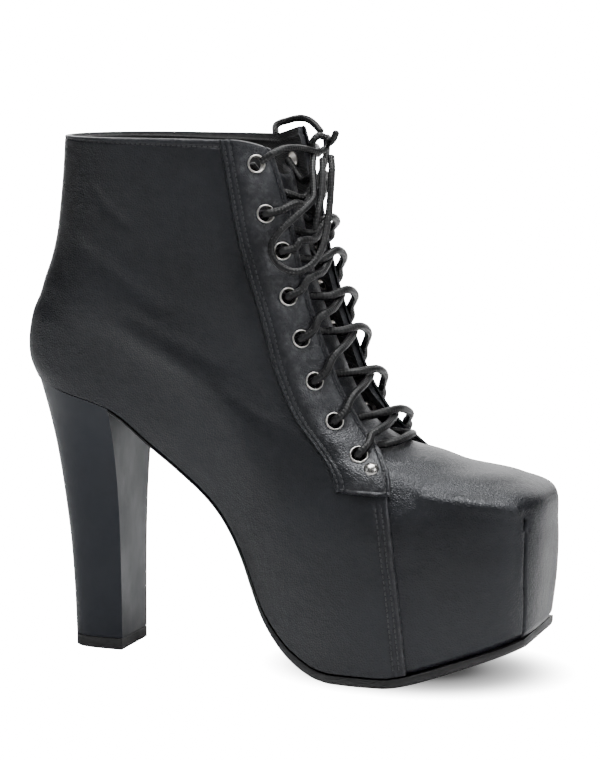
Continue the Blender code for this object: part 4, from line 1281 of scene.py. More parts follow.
class Quarter(BootMaker):
    """One quarter with its shaft: from the back seam to the vamp seam and the throat."""

    sizes = QuarterSizes()

    def build(self, side: Side) -> bpy.types.Object:
        """Builds one quarter, with its eyelet holes.

        Args:
            side: The side.

        Returns:
            The object.
        """
        s = self.sizes
        rows = np.concatenate([np.linspace(0, 0.95, s.rows)[:-1], np.linspace(0.95, 1, s.top_rows)])
        across = np.concatenate([np.linspace(0, 0.9, s.columns)[:-1], np.linspace(0.9, 1, s.edge_columns)])
        row, t = np.meshgrid(rows, across, indexing="ij")
        edge = self.front_edge(row[:, :1])
        share = t * edge
        bare, _ = self.surface.sample(side, row, share)
        from_edge = (edge - share) * self.surface.girth(row[:, 0])[:, None]
        from_top = (1 - row) * s.height
        round_edge = np.sqrt(1 - (1 - np.clip(from_edge / s.edge_round, 0, 1)) ** 2)
        round_top = 1 - np.sqrt(1 - (1 - np.clip(from_top / s.top_round, 0, 1)) ** 2)
        lift = self.relief.height(side, bare)
        below_throat = 1 - ease(row, *s.throat_foot)
        seams = sum(np.exp(-((from_edge - at) / s.groove_width) ** 2) for at in s.seam_rows) * below_throat
        seams += np.exp(-((from_top - s.collar_row) / s.groove_width) ** 2)
        lift = lift - s.groove * np.clip(seams, 0, 1)
        lift = lift + s.fold * (1 - ease(from_edge, *s.fold_edge)) * below_throat
        out = s.skin + (s.step - s.skin) * round_edge - s.top_drop * round_top + lift
        thin_from, thin_to = (edge - share_in for share_in in s.thin_shares)
        over_vamp = ease(share, thin_from, thin_to) * (1 - ease(row, *s.thin_rows))
        inner = -s.wall + (s.wall + s.skin / 2) * over_vamp + np.minimum(lift, 0)
        outer_points = self.on_feather(self.surface.sample(side, row, share, out)[0])
        inner_points = self.on_feather(self.surface.sample(side, row, share, inner)[0])
        # Painted highlight along the top edge, and along the folded front edge below the throat.
        at_edge, at_top = (np.exp(-(distance / width) ** 2)
                           for distance, width in zip((from_edge, from_top), s.rim_highlight_widths))
        painted_rim_highlight = s.rim_highlight * np.maximum(at_edge * below_throat, at_top)
        middle = (bare[:-1, :-1] + bare[1:, :-1] + bare[:-1, 1:] + bare[1:, 1:]) / 4
        keep = np.ones(middle.shape[:2], bool)
        for centre, normal, _, _ in self.surface.eyelet_places(side):
            away = middle - centre
            off_axis = away - (away @ normal)[..., None] * normal
            keep &= (np.linalg.norm(off_axis, axis=-1) > s.eyelet_hole) | (np.abs(away @ normal) > 0.02)
        piece = shell(f"quarter_{side.label}", outer_points, inner_points,
                      (self.finishes.leather, self.finishes.lining), keep, painted_rim_highlight)
        return piece.build("leather", ("upper",))


@dataclass(frozen=True)
class VampSizes:
    """Sizes of the vamp and the tongue, in metres, and the rows where they run."""

    wall: float = 0.0018
    tongue_wall: float = 0.0020
    tongue_edge: float = 0.0007
    foot_tuck: float = 0.0012
    foot_rows: float = 1.6 / 280
    under_quarter: float = 0.035
    top_row: float = 0.445
    sink_rows: tuple = (0.400, 0.545)
    sink: float = 0.0092
    tongue_rows: tuple = (0.428, 0.955)
    rows: int = 168
    dart_lanes: tuple = (0.20, 0.37)
    columns: tuple = (18, 46, 54)
    tongue_lengthwise: int = 170
    tongue_across: int = 61


class Vamp(BootMaker):
    """The vamp with its toe darts, and the tongue that goes on from it up the throat."""

    sizes = VampSizes()

    def sink(self, row: np.ndarray) -> np.ndarray:
        """Depth of the vamp's end and the tongue under the closed throat's surface."""
        return self.sizes.sink * ease(row, *self.sizes.sink_rows)

    def _band(self, rows: np.ndarray, lanes: np.ndarray, out: np.ndarray, relief: bool) -> np.ndarray:
        """Points of a band over the front of the boot.

        Args:
            rows: Shares up the wall.
            lanes: Places across, from -1 (lateral) to 1 (medial).
            out: Distance out along the normal.
            relief: Whether the creases are added, and the two sides blended in the middle alone.

        Returns:
            The points, [row][lane][xyz].
        """
        row, lane = np.meshgrid(rows, lanes, indexing="ij")
        extent = 1 - self.front_edge(row) + self.sizes.under_quarter
        share = 1 - np.abs(lane) * extent
        result = np.empty(row.shape + (3,))
        heights = []
        for side in Side:
            lift = self.relief.height(side, self.surface.sample(side, row, share)[0]) if relief else 0.0
            points, _ = self.surface.sample(side, row, share, out + lift)
            mask = lane * side.value >= 0
            result[mask] = points[mask]
            heights.append(points[..., 2])
        middle = np.exp(-(lane * extent / 0.06) ** 2) if relief else 1.0
        result[..., 2] += (np.mean(heights, axis=0) - result[..., 2]) * middle
        return result

    def build_vamp(self) -> bpy.types.Object:
        """Builds the vamp, from under one quarter to under the other.

        Returns:
            The object.
        """
        s = self.sizes
        rows = s.top_row * np.linspace(0, 1, s.rows)
        stops = (0.0, *s.dart_lanes, 1.0)
        lanes_in = [np.linspace(stops[k], stops[k + 1], s.columns[k] + 1)[:-1] for k in range(3)]
        half = np.concatenate(lanes_in + [[1.0]])
        lanes = np.concatenate([-half[:0:-1], half])
        foot = s.foot_tuck * np.exp(-(rows / s.foot_rows) ** 2)
        out = -(self.sink(rows) + foot)[:, None] + 0 * lanes
        thin = s.wall * (1 - 0.75 * ease(rows, 0.40, s.top_row))[:, None]
        outer = self.on_feather(self._band(rows, lanes, out, True))
        inner = self.on_feather(self._band(rows, lanes, out - thin, True))
        piece = shell("vamp", outer, inner, (self.finishes.leather, self.finishes.lining),
                      wear_and_sheen=np.zeros(outer.shape[:2]))
        return piece.build("leather", ("upper",))

    def build_tongue(self) -> bpy.types.Object:
        """Builds the tongue, from just under the vamp's end to near the collar.

        Returns:
            The object.
        """
        s = self.sizes
        rows = np.linspace(*s.tongue_rows, s.tongue_lengthwise)
        lanes = np.linspace(-1, 1, s.tongue_across)
        edge = 1 - ease(1 - np.abs(lanes), 0, 0.06)
        top = 1 - ease(s.tongue_rows[1] - rows, 0, 0.008)
        soft = np.maximum(edge[None], top[:, None]) * s.tongue_edge
        depth = -(self.sink(rows) + 0.00025)[:, None] - soft
        outer = self._band(rows, lanes, depth, False)
        inner = self._band(rows, lanes, depth - s.tongue_wall + 2 * soft, False)
        piece = shell("tongue_leather", outer, inner, (self.finishes.leather, self.finishes.lining),
                      wear_and_sheen=np.zeros(outer.shape[:2]))
        return piece.build("leather", ("tongue",))


@dataclass(frozen=True)
class FacingSizes:
    """Sizes of a facing, in metres."""

    low: float = 0.00105
    high: float = 0.0024
    edge_round: float = 0.0011
    back_rows: tuple = (0.0018, 0.0044)
    front_row: float = 0.0024
    foot_row: float = 0.0022
    groove: float = 0.00045
    groove_width: float = 0.00062
    puff: float = 0.0007
    puff_ramp: float = 0.006
    pull: float = 0.0072
    pull_depth: float = 1.6
    length: float = 0.185
    # Painted sheen over the puffed middle of the facing.
    puff_sheen: float = 0.34
    # A pale ring round each eyelet, partly wear of the pulled leather and partly painted sheen.
    ring_wear_and_sheen: tuple = (0.45, 0.0062, 0.0026)
    # Painted highlight: a pale glossy band along the facing's front edge.
    edge_highlight: tuple = (0.5, 0.0011)
    lengthwise: int = 256
    across: int = 78
    eyelet_hole: float = 0.0038


class Facing(BootMaker):
    """The stitched lacing facing on a quarter."""

    sizes = FacingSizes()

    def shares(self, u: np.ndarray, v: np.ndarray) -> tuple[np.ndarray, np.ndarray]:
        """Row and share of a place on the facing.

        Args:
            u: 0 at the foot, 1 at the collar.
            v: 0 at the back edge, 1 at the front edge.

        Returns:
            Rows and shares.
        """
        back_row = FACING_BACK[0][0] + (1 - FACING_BACK[0][0]) * u
        front_row = FACING_FRONT[0][0] + (1 - FACING_FRONT[0][0]) * u
        back, front = smooth_through(back_row, FACING_BACK), smooth_through(front_row, FACING_FRONT)
        return back_row * (1 - v) + front_row * v, back * (1 - v) + front * v

    def width(self, side: Side, u: np.ndarray) -> np.ndarray:
        """Distance across the facing.

        Args:
            side: The side.
            u: 0 at the foot, 1 at the collar.

        Returns:
            Its widths.
        """
        across = np.linspace(0, 1, 24)
        row, share = self.shares(np.asarray(u, float)[:, None], across[None])
        points, _ = self.surface.sample(side, row, share)
        return np.linalg.norm(np.diff(points, axis=1), axis=2).sum(axis=1)

    def build(self, side: Side) -> bpy.types.Object:
        """Builds the facing with its rounded edges, stitch grooves and eyelet holes.

        The wall stands out by sqrt(1 - (1 - d)^2) near an edge, d the distance over the rounding.

        Args:
            side: The side.

        Returns:
            The object.
        """
        s = self.sizes
        us, vs = np.linspace(0, 1, s.lengthwise), np.linspace(0, 1, s.across)
        u, v = np.meshgrid(us, vs, indexing="ij")
        row, share = self.shares(u, v)
        bare, _ = self.surface.sample(side, row, share)
        width = self.width(side, us)[:, None]
        back, front, foot, top = v * width, (1 - v) * width, u * s.length, (1 - u) * s.length
        nearest = np.minimum(np.minimum(back, front), np.minimum(foot, top))
        rounded = np.sqrt(1 - (1 - np.clip(nearest / s.edge_round, 0, 1)) ** 2)
        lines = [back - at for at in s.back_rows] + [front - s.front_row, foot - s.foot_row]
        groove = sum(np.exp(-(line / s.groove_width) ** 2) for line in lines)
        out = s.low + 0.0001 + (s.high - s.low - 0.0001) * rounded - s.groove * np.clip(groove, 0, 1)
        out += self.relief.height(side, bare)
        puffed = ease(back, s.back_rows[1], s.back_rows[1] + s.puff_ramp)
        puffed = puffed * ease(front, s.front_row, s.front_row + s.puff_ramp)
        # Painted sheen over the puffed middle, between the stitch rows.
        wear_and_sheen = s.puff_sheen * puffed
        ring, ring_radius, ring_width = s.ring_wear_and_sheen
        keep = np.ones((s.lengthwise - 1, s.across - 1), bool)
        pulled = np.zeros(row.shape)
        for centre, _, _, _ in self.surface.eyelet_places(side):
            radial = np.linalg.norm(bare - centre, axis=-1)
            pulled = np.maximum(pulled, np.exp(-(radial / s.pull) ** 2))
            # Pale ring round the eyelet: partly wear, partly painted sheen.
            wear_and_sheen = np.maximum(wear_and_sheen, ring * np.exp(-((radial - ring_radius) / ring_width) ** 2))
            outside = radial > s.eyelet_hole
            keep &= outside[:-1, :-1] | outside[1:, :-1] | outside[:-1, 1:] | outside[1:, 1:]
        out += s.puff * puffed * (1 - s.pull_depth * pulled)
        # Painted highlight along the front edge.
        wear_and_sheen = np.maximum(wear_and_sheen, s.edge_highlight[0] * np.exp(-(front / s.edge_highlight[1]) ** 2))
        outer = self.surface.sample(side, row, share, out)[0]
        inner = self.surface.sample(side, row, share, np.full(row.shape, s.low))[0]
        for centre, normal, _, _ in self.surface.eyelet_places(side):
            for skin in (outer, inner):
                away = skin - centre
                flat = away - (away @ normal)[..., None] * normal
                radial = np.linalg.norm(flat, axis=-1, keepdims=True)
                skin += flat * (np.maximum(s.eyelet_hole / np.maximum(radial, 1e-6), 1) - 1)
        piece = shell(f"facing_{side.label}", outer, inner, (self.finishes.leather,), keep, wear_and_sheen)
        return piece.build("leather", (f"eyestay_{side.label}",))


@dataclass(frozen=True)
class StitchSizes:
    """Sizes of a stitch, in metres."""

    pitch: float = 0.0024
    length: float = 0.0019
    radius: float = 0.00027
    rings: int = 7
    sides: int = 8


class Stitching(BootMaker):
    """Rows of machine stitches, joined into one piece."""

    sizes = StitchSizes()

    def __init__(self, surface: LastSurface, relief: Relief, finishes: Finishes) -> None:
        """Starts with no stitches.

        Args:
            surface: The boot's surface.
            relief: Its creases.
            finishes: The materials.
        """
        super().__init__(surface, relief, finishes)
        self.points: list[np.ndarray] = []
        self.faces: list[np.ndarray] = []
        self.count = 0

    def row(self, path: np.ndarray, normals: np.ndarray) -> None:
        """Sews one row along a path that lies on the leather.

        Each stitch is a capsule whose rings have radius sqrt(1 - s^4), s from -1 to 1 along it.

        Args:
            path: Points on the leather.
            normals: Outward directions there.
        """
        z = self.sizes
        run = np.concatenate([[0], np.cumsum(np.linalg.norm(np.diff(path, axis=0), axis=1))])
        count = int(run[-1] / z.pitch)
        if count < 1:
            return
        at = (np.arange(count) + 0.5) * run[-1] / count
        centre = np.stack([np.interp(at, run, path[:, k]) for k in range(3)], 1)
        out = np.stack([np.interp(at, run, normals[:, k]) for k in range(3)], 1)
        ahead = np.stack([np.interp(at + 0.0005, run, path[:, k]) - np.interp(at - 0.0005, run, path[:, k])
                          for k in range(3)], 1)
        ahead /= np.linalg.norm(ahead, axis=1)[:, None]
        out -= ahead * np.einsum("ij,ij->i", out, ahead)[:, None]
        out /= np.linalg.norm(out, axis=1)[:, None]
        across = np.cross(ahead, out)
        s = np.linspace(-0.97, 0.97, z.rings)
        size = np.sqrt(1 - s**4) * z.radius
        angle = np.arange(z.sides) * 2 * math.pi / z.sides
        flat = (centre[:, None, None] + ahead[:, None, None] * (s * z.length / 2)[None, :, None, None]
                + across[:, None, None] * (size[:, None] * np.cos(angle))[None, ..., None]
                + out[:, None, None] * (size[:, None] * np.sin(angle) + z.radius * 0.35)[None, ..., None])
        quads = grid_quads(z.rings, z.sides, True)
        ends = [list(range(z.sides)), list(range(z.rings * z.sides - 1, (z.rings - 1) * z.sides - 1, -1))]
        per = z.rings * z.sides
        for k in range(count):
            self.faces += (quads[:, ::-1] + self.count + k * per).tolist()
            self.faces += [[v + self.count + k * per for v in end] for end in ends]
        self.points.append(flat.reshape(-1, 3))
        self.count += count * per

    def along_shares(self, side: Side, row: np.ndarray, share: np.ndarray, out: float) -> None:
        """Sews a row over the bare surface and its relief.

        Args:
            side: The side.
            row: Shares up the wall.
            share: Shares of the half girth.
            out: Height over the surface.
        """
        bare, _ = self.surface.sample(side, row, share)
        lift = self.relief.height(side, bare)
        self.row(*self.surface.sample(side, row, share, out + lift))

    def sew_facing(self, facing: Facing, side: Side) -> None:
        """Sews a facing's back edge twice, its front edge and its foot.

        Args:
            facing: The facings' maker.
            side: The side.
        """
        z = facing.sizes
        u = np.linspace(0.012, 0.985, 220)
        width = facing.width(side, u)
        out = z.high - z.groove
        for at in z.back_rows:
            self.along_shares(side, *facing.shares(u, at / width), out)
        self.along_shares(side, *facing.shares(u, 1 - z.front_row / width), out)
        v = np.linspace(0.09, 0.93, 40)
        self.along_shares(side, *facing.shares(np.full(v.shape, z.foot_row / z.length), v), out)

    def sew_quarter(self, quarter: Quarter, side: Side) -> None:
        """Sews the collar and the vamp seam's two rows.

        Args:
            quarter: The quarters' maker.
            side: The side.
        """
        share = np.linspace(0.004, 0.688, 160)
        z = quarter.sizes
        out = z.step - z.groove
        self.along_shares(side, np.full(share.shape, 1 - z.collar_row / z.height), share, out)
        row = np.linspace(0.012, 0.300, 90)
        edge, girth = quarter.front_edge(row), self.surface.girth(row)
        for away in z.seam_rows:
            self.along_shares(side, row, edge - away / girth, out)

    def build(self) -> bpy.types.Object:
        """Joins the rows."""
        piece = Piece("stitching", np.concatenate(self.points), self.faces, (self.finishes.thread,))
        return piece.build("lace")


@dataclass(frozen=True)
class EyeletSizes:
    """Sizes of the metal parts, in metres."""

    bore: float = 0.0033
    rim: float = 0.0042
    seat: float = 0.0022
    crown: float = 0.0031
    depth: float = -0.0024
    wall: float = 0.0004
    stud_radius: float = 0.0034
    stud_height: float = 0.0023
    stud_sink: float = 0.0006
    pole: float = 0.00002
    segments: int = 36


class MetalParts(BootMaker):
    """The eyelets and the studs."""

    sizes = EyeletSizes()

    def ring_profile(self) -> np.ndarray:
        """Rolled flange and barrel of an eyelet: half a circle, then a straight tube.

        Returns:
            One closed loop of (radius, height).
        """
        z = self.sizes
        middle, half = (z.rim + z.bore) / 2, (z.rim - z.bore) / 2
        roll = [(middle + half * math.cos(a), z.seat + (z.crown - z.seat) * math.sin(a))
                for a in np.linspace(0, math.pi, 11)]
        barrel = [(z.bore, z.depth), (z.bore + z.wall, z.depth), (z.bore + z.wall + 0.0001, z.seat - 0.0002)]
        return np.array(roll + barrel)

    def build(self, side: Side) -> None:
        """Builds one side's eyelets as one piece, and its stud.

        Args:
            side: The side.
        """
        profile, z = self.ring_profile(), self.sizes
        points, faces, first = [], [], 0
        for centre, normal, _, _ in self.surface.eyelet_places(side):
            flat, quads = turned_arrays(profile, centre, normal, z.segments)
            points.append(flat)
            faces += (quads + first).tolist()
            first += len(flat)
        names = tuple(f"eyelet_{side.label}_{n}" for n in range(1, len(EYELETS) + 1))
        eyelets = Piece(f"eyelets_{side.label}", np.concatenate(points), faces, (self.finishes.nickel,))
        eyelets.build("nickel", names)
        s = self.surface
        centre, normal, _, _ = s.place_in_side_view(side, s.along(STUD[0]), STUD[1] * s.sizes.collar_height)
        dome = [(z.stud_radius * math.cos(a) ** 0.8, z.seat + z.stud_height * math.sin(a))
                for a in np.linspace(0, math.pi / 2, 12)[:-1]]
        foot = [(z.pole, z.seat - z.stud_sink), (z.stud_radius * 0.9, z.seat - z.stud_sink)]
        profile = np.array(foot + dome + [(z.pole, z.seat + z.stud_height)])
        flat, quads = turned_arrays(profile, centre, normal, z.segments)
        stud = Piece(f"dome_stud_{side.label}", flat, quads.tolist(), (self.finishes.stud,))
        stud.build("nickel", (f"stud_{side.label}",))


@dataclass(frozen=True)
class LaceStop:
    """A place on a strand between two eyelets.

    across is a distance from the throat's middle as a share of that to the facing's edge,
    rise a share of the way to the next eyelet and lift a height over the closed surface.
    """

    across: float
    rise: float
    lift: float


@dataclass(frozen=True)
class LaceSizes:
    """Sizes of the lace, in metres."""

    diameter: float = 0.0032
    pulled_diameter: float = 0.0037
    spacing: float = 0.0007
    sides: int = 14
    behind: float = 0.0052
    bar_behind: float = 0.0050
    bar_row: float = 0.472


OVER_STRAND = (
    LaceStop(-1.04, 0.55, 0.0040), LaceStop(-0.90, 0.68, 0.0044), LaceStop(-0.56, 0.88, 0.0044),
    LaceStop(0.00, 1.08, 0.0032), LaceStop(0.46, 1.20, 0.0004), LaceStop(0.82, 1.26, -0.0032),
    LaceStop(1.12, 1.20, -0.0044),
)
UNDER_STRAND = (
    LaceStop(-1.04, 0.60, 0.0048), LaceStop(-0.88, 0.74, 0.0046), LaceStop(-0.56, 0.90, 0.0022),
    LaceStop(0.00, 1.04, -0.0006), LaceStop(0.46, 1.10, -0.0020), LaceStop(0.82, 1.08, -0.0040),
    LaceStop(1.12, 1.00, -0.0046),
)

# How steeply each crossing climbs, from the lowest up.
CLIMB = (1.0, 1.0, 1.0, 0.9, 0.75, 0.6, 0.5)


class Lacing(BootMaker):
    """The lace: the bar, the crossings through the eyelets and the bow's free cords."""

    sizes = LaceSizes()

    def edge_distance(self, row: float) -> float:
        """Distance round the girth from the throat's middle to the facing's edge."""
        return float((1 - smooth_through(row, FACING_FRONT)) * self.surface.girth(row))

    def over_throat(self, row: float, across: float, lift: float) -> np.ndarray:
        """A point over the throat.

        Args:
            row: Share up the wall.
            across: Distance from the middle, below zero on the lateral side.
            lift: Height over the closed surface.

        Returns:
            The point.
        """
        side = Side.LATERAL if across < 0 else Side.MEDIAL
        share = 1 - abs(across) / float(self.surface.girth(row))
        return self.surface.sample(side, np.array(row), np.array(share), np.array(lift))[0]

    def strand(self, start: Side, low: tuple, high: tuple, stops: tuple, climb: float) -> np.ndarray:
        """One strand, out of an eyelet and under the other facing to behind the next one up.

        Args:
            start: The side whose eyelet it comes out of.
            low: That eyelet's centre, normal, row and share.
            high: The place of the next eyelet up, on the other side.
            stops: The stops in between.
            climb: How much of each stop's rise it takes.

        Returns:
            The strand's smooth path.
        """
        sign = start.value
        path = [low[0] + low[1] * lift for lift in (-self.sizes.behind, -0.0010, 0.0030)]
        pitch = (high[2] - low[2]) * climb
        row = low[2] + 0.24 * pitch
        across = sign * (1 - low[3]) * float(self.surface.girth(row)) * 0.82
        path.append(self.over_throat(row, across, 0.0048))
        for stop in stops:
            row = low[2] + pitch * stop.rise
            path.append(self.over_throat(row, -sign * stop.across * self.edge_distance(row), stop.lift))
        path.append(high[0] - high[1] * self.sizes.behind)
        return smooth_path(np.array(path), self.sizes.spacing)

    def build_crossings(self) -> bpy.types.Object:
        """Builds the bar over the vamp and every crossing, joined in one piece.

        Returns:
            The object.
        """
        lateral = self.surface.eyelet_places(Side.LATERAL)[::-1]
        medial = self.surface.eyelet_places(Side.MEDIAL)[::-1]
        paths = [self.bar(lateral[0], medial[0])]
        for k, climb in enumerate(CLIMB):
            paths.append(self.strand(Side.MEDIAL, medial[k], lateral[k + 1], OVER_STRAND, climb))
            paths.append(self.strand(Side.LATERAL, lateral[k], medial[k + 1], UNDER_STRAND, climb))
        piece = tubes("laces", paths, self.sizes.pulled_diameter / 2, self.finishes.lace, self.sizes.sides)
        names = ("lace_bar", *(f"lace_crossing_{k}" for k in range(1, len(EYELETS))))
        return piece.build("lace", names)

    def bar(self, lateral: tuple, medial: tuple) -> np.ndarray:
        """The lowest strand, from behind one eyelet, over the vamp, to behind the other.

        Args:
            lateral: The lateral eyelet's centre, normal, row and share.
            medial: The medial one's.

        Returns:
            The strand's smooth path.
        """
        row, behind = self.sizes.bar_row, self.sizes.bar_behind
        reach = self.edge_distance(row)
        across = [self.over_throat(row, t * reach, lift) for t, lift in
                  ((-1.10, -0.0040), (-0.85, -0.0026), (-0.45, -0.0018), (0.0, -0.0016), (0.45, -0.0018),
                   (0.85, -0.0026), (1.10, -0.0040))]
        path = [lateral[0] - lateral[1] * behind, *across, medial[0] - medial[1] * behind]
        return smooth_path(np.array(path), self.sizes.spacing)

    def build_bow(self) -> None:
        """The knot, loops and ends, each a tube over its CAD node, which it hides."""
        z = self.sizes
        paths = {name: smooth_path(np.array(stops), z.spacing) for name, stops in BOW.items()}
        things = {}
        for name, path in paths.items():
            piece = tubes(f"{name}_cord", [path], z.diameter / 2, self.finishes.lace, z.sides)
            things[name] = piece.build("lace", (name,))
        stub = things.pop("lace_end_medial")
        for name, thing in things.items():
            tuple(BOW[name][0])
            path_length(paths[name])
            "bare" if "end" in name else "object"
            [tuple(p) for p in paths[name]]


@dataclass(frozen=True)
class SoleSizes:
    """Sizes of the sole, insole and heel, in metres."""

    lip: float = 0.0010
    breast: float = 0.123
    insole: float = 0.0025
    inset: float = 0.0032
    clearance: float = 0.0006
    foot_width: float = 0.029
    foot_length: float = 0.027
    lift: float = 0.0055
    stations: int = 260
    around: int = 30
    levels: int = 44


@dataclass(frozen=True)
class EdgeStop:
    """A point of a sole layer's section: inset from its edge, and height over one of its faces."""

    inset: float
    top: bool
    rise: float


OUTSOLE_EDGE = (
    EdgeStop(0.0060, False, 0.0), EdgeStop(0.0030, False, 0.0001), EdgeStop(0.0014, False, 0.0006),
    EdgeStop(0.0005, False, 0.0011), EdgeStop(0.0000, False, 0.0017), EdgeStop(0.0000, True, -0.0006),
    EdgeStop(0.0002, True, -0.0002), EdgeStop(0.0006, True, 0.0), EdgeStop(0.0030, True, 0.0),
    EdgeStop(0.0060, True, 0.0),
)
INSOLE_EDGE = (
    EdgeStop(0.0060, False, 0.0), EdgeStop(0.0003, False, 0.0), EdgeStop(0.0, False, 0.0005),
    EdgeStop(0.0, True, -0.0010), EdgeStop(0.0004, True, -0.0003), EdgeStop(0.0014, True, 0.0),
    EdgeStop(0.0060, True, 0.0),
)

# The heel block: (share of its height, share of the way to the seat's width, to its length).
HEEL_SECTIONS = (
    (0.00, 0.00, 0.00), (0.18, 0.02, 0.05), (0.36, 0.06, 0.14), (0.54, 0.16, 0.30), (0.72, 0.36, 0.50),
    (0.86, 0.62, 0.72), (1.00, 1.00, 1.00),
)


class Bottom(BootMaker):
    """Outsole, insole, heel block and top piece."""

    sizes = SoleSizes()

    def half_width(self, x: np.ndarray, inset: float) -> np.ndarray:
        """Half-width of a plate inside the feather ring, or outside it for an inset below zero.

        Args:
            x: Distances ahead of the origin.
            inset: Distance inside the ring.

        Returns:
            Half-widths there.
        """
        front, back = self.surface.ring_ends(RINGS[0])
        middle, scale = (front + back) / 2, (front - back) / (front - back - 2 * inset)
        spread = self.surface.ring_half_width(RINGS[0], middle + (x - middle) * scale)
        return np.maximum(spread - inset, 0.0008)

    def plate(self, name: str, x: np.ndarray, inset: float, faces: tuple, edge: tuple,
              material: bpy.types.Material) -> Piece:
        """A layer of the sole: one closed section at each station.

        Args:
            name: The piece's name.
            x: Its stations.
            inset: Distance of its edge inside the feather ring.
            faces: Heights of its top and its underside at the stations.
            edge: Its section from the underside round the edge to the top.
            material: Its material.

        Returns:
            The piece.
        """
        half, centre = self.half_width(x, inset), self.surface.centre(x)
        top, bottom = faces
        shrink = np.minimum(1.0, half / 0.0075)
        loop = []
        for sign, stops in ((1.0, edge), (-1.0, edge[::-1])):
            for stop in stops:
                base = top if stop.top else bottom
                loop.append(np.stack([x, centre + sign * (half - stop.inset * shrink), base + stop.rise], 1))
        return loft(name, np.stack(loop, 1), material, 40)

    def build_outsole(self) -> None:
        """The thin outsole from the toe to the heel's breast."""
        z, s = self.sizes, self.surface
        front, _ = s.ring_ends(RINGS[0])
        low, high = -z.breast + 0.0003, front - 0.0022
        x = low + (high - low) * np.sin(np.linspace(0, math.pi / 2, z.stations))
        faces = (s.feather(x) - z.clearance * s.slant(x), s.ground(x))
        piece = self.plate("outsole_rubber", x, -z.lip, faces, OUTSOLE_EDGE, self.finishes.rubber)
        piece.build("sole", ("outsole",))

    def build_insole(self) -> None:
        """The padded insole, from the seat to the toe."""
        z, s = self.sizes, self.surface
        front, back = s.ring_ends(RINGS[0])
        low, high = back + z.inset, front - z.inset
        x = (low + high) / 2 - (high - low) / 2 * np.cos(np.linspace(0, math.pi, z.stations))
        faces = (s.footbed(x) + z.insole, s.footbed(x))
        piece = self.plate("insole_sock", x, z.inset, faces, INSOLE_EDGE, self.finishes.lining)
        piece.build("lining", ("insole",))

    def heel_section(self, spread: float, back_share: float) -> np.ndarray:
        """One section of the heel, from the breast round the back and to the breast again.

        Its half-width is that of the foot, (1 - t^4)^0.3, blended towards the seat's.

        Args:
            spread: Share of the way to the seat's width.
            back_share: Share of the way to the seat's length.

        Returns:
            Its (x, y) points.
        """
        z, s = self.sizes, self.surface
        seat_back = -s.ring_ends(RINGS[0])[1] - z.clearance
        foot_back = z.breast + z.foot_length
        back = -(foot_back + (seat_back - foot_back) * back_share)
        front = -z.breast
        turn = np.sin(np.linspace(0, math.pi / 2, z.around))
        x = front + (back - front) * turn
        seat_x = front + (-seat_back - front) * turn
        seat_half = s.ring_half_width(RINGS[0], seat_x + z.clearance) - z.clearance
        foot_half = z.foot_width / 2 * (1 - turn**4) ** 0.30
        half = np.maximum(foot_half + (seat_half - foot_half) * spread, 0)
        half[-1] = 0.0
        middle = s.centre(x)
        return np.concatenate([np.stack([x, middle - half], 1), np.stack([x, middle + half], 1)[-2::-1]])

    def build_heel(self) -> None:
        """The flared heel block and its top piece."""
        z, s = self.sizes, self.surface
        rise = np.linspace(0, 1, z.levels)
        spread = smooth_through(rise, tuple((r, w) for r, w, _ in HEEL_SECTIONS))
        back = smooth_through(rise, tuple((r, b) for r, _, b in HEEL_SECTIONS))
        low = z.lift + 0.0003
        sections = []
        for at, wide, far in zip(rise, spread, back):
            plan = self.heel_section(float(wide), float(far))
            top = s.feather(plan[:, 0]) - z.clearance
            sections.append(np.column_stack([plan, low + (top - low) * at]))
        loft("heel_block", np.array(sections), self.finishes.heel, 32).build("heel_cover", ("heel",))
        plan = self.heel_section(0.0, 0.0)
        middle = plan.mean(axis=0)
        layers = [np.column_stack([middle + (plan - middle) * scale, np.full(len(plan), height)])
                  for height, scale in ((0.0, 0.972), (0.0004, 1.0), (z.lift - 0.0003, 1.0), (z.lift, 0.985))]
        loft("top_piece", np.array(layers), self.finishes.rubber, 32).build("sole", ("heel_lift",))


@dataclass(frozen=True)
class CameraSizes:
    """The camera that the photograph was fitted with, in metres and millimetres."""

    location: tuple = (0.35818, -1.09307, 0.29336)
    aim: tuple = (-0.03966, 0.0, 0.12988)
    lens: float = 122.35
    sensor: float = 36.0


@dataclass(frozen=True)
class Softbox:
    """A rectangular light: where it is, what it looks at, its size, its power and its colour."""

    name: str
    place: tuple
    aim: tuple
    size: tuple
    power: float
    colour: tuple = (1.0, 1.0, 1.0)


SOFTBOXES = (
    Softbox("top_softbox", (0.05, -0.05, 1.25), (-0.03, 0.0, 0.10), (0.80, 0.50), 27.0),
    Softbox("back_softbox", (-0.45, 1.60, 0.70), (-0.03, 0.0, 0.12), (2.2, 1.3), 34.0),
    Softbox("left_softbox", (-1.00, -1.10, 0.75), (-0.05, 0.0, 0.12), (0.7, 1.0), 3.5, (0.95, 0.975, 1.0)),
    Softbox("right_softbox", (1.05, -0.42, 0.88), (0.0, 0.0, 0.12), (0.5, 0.6), 9.0, (0.99, 0.995, 1.0)),
)


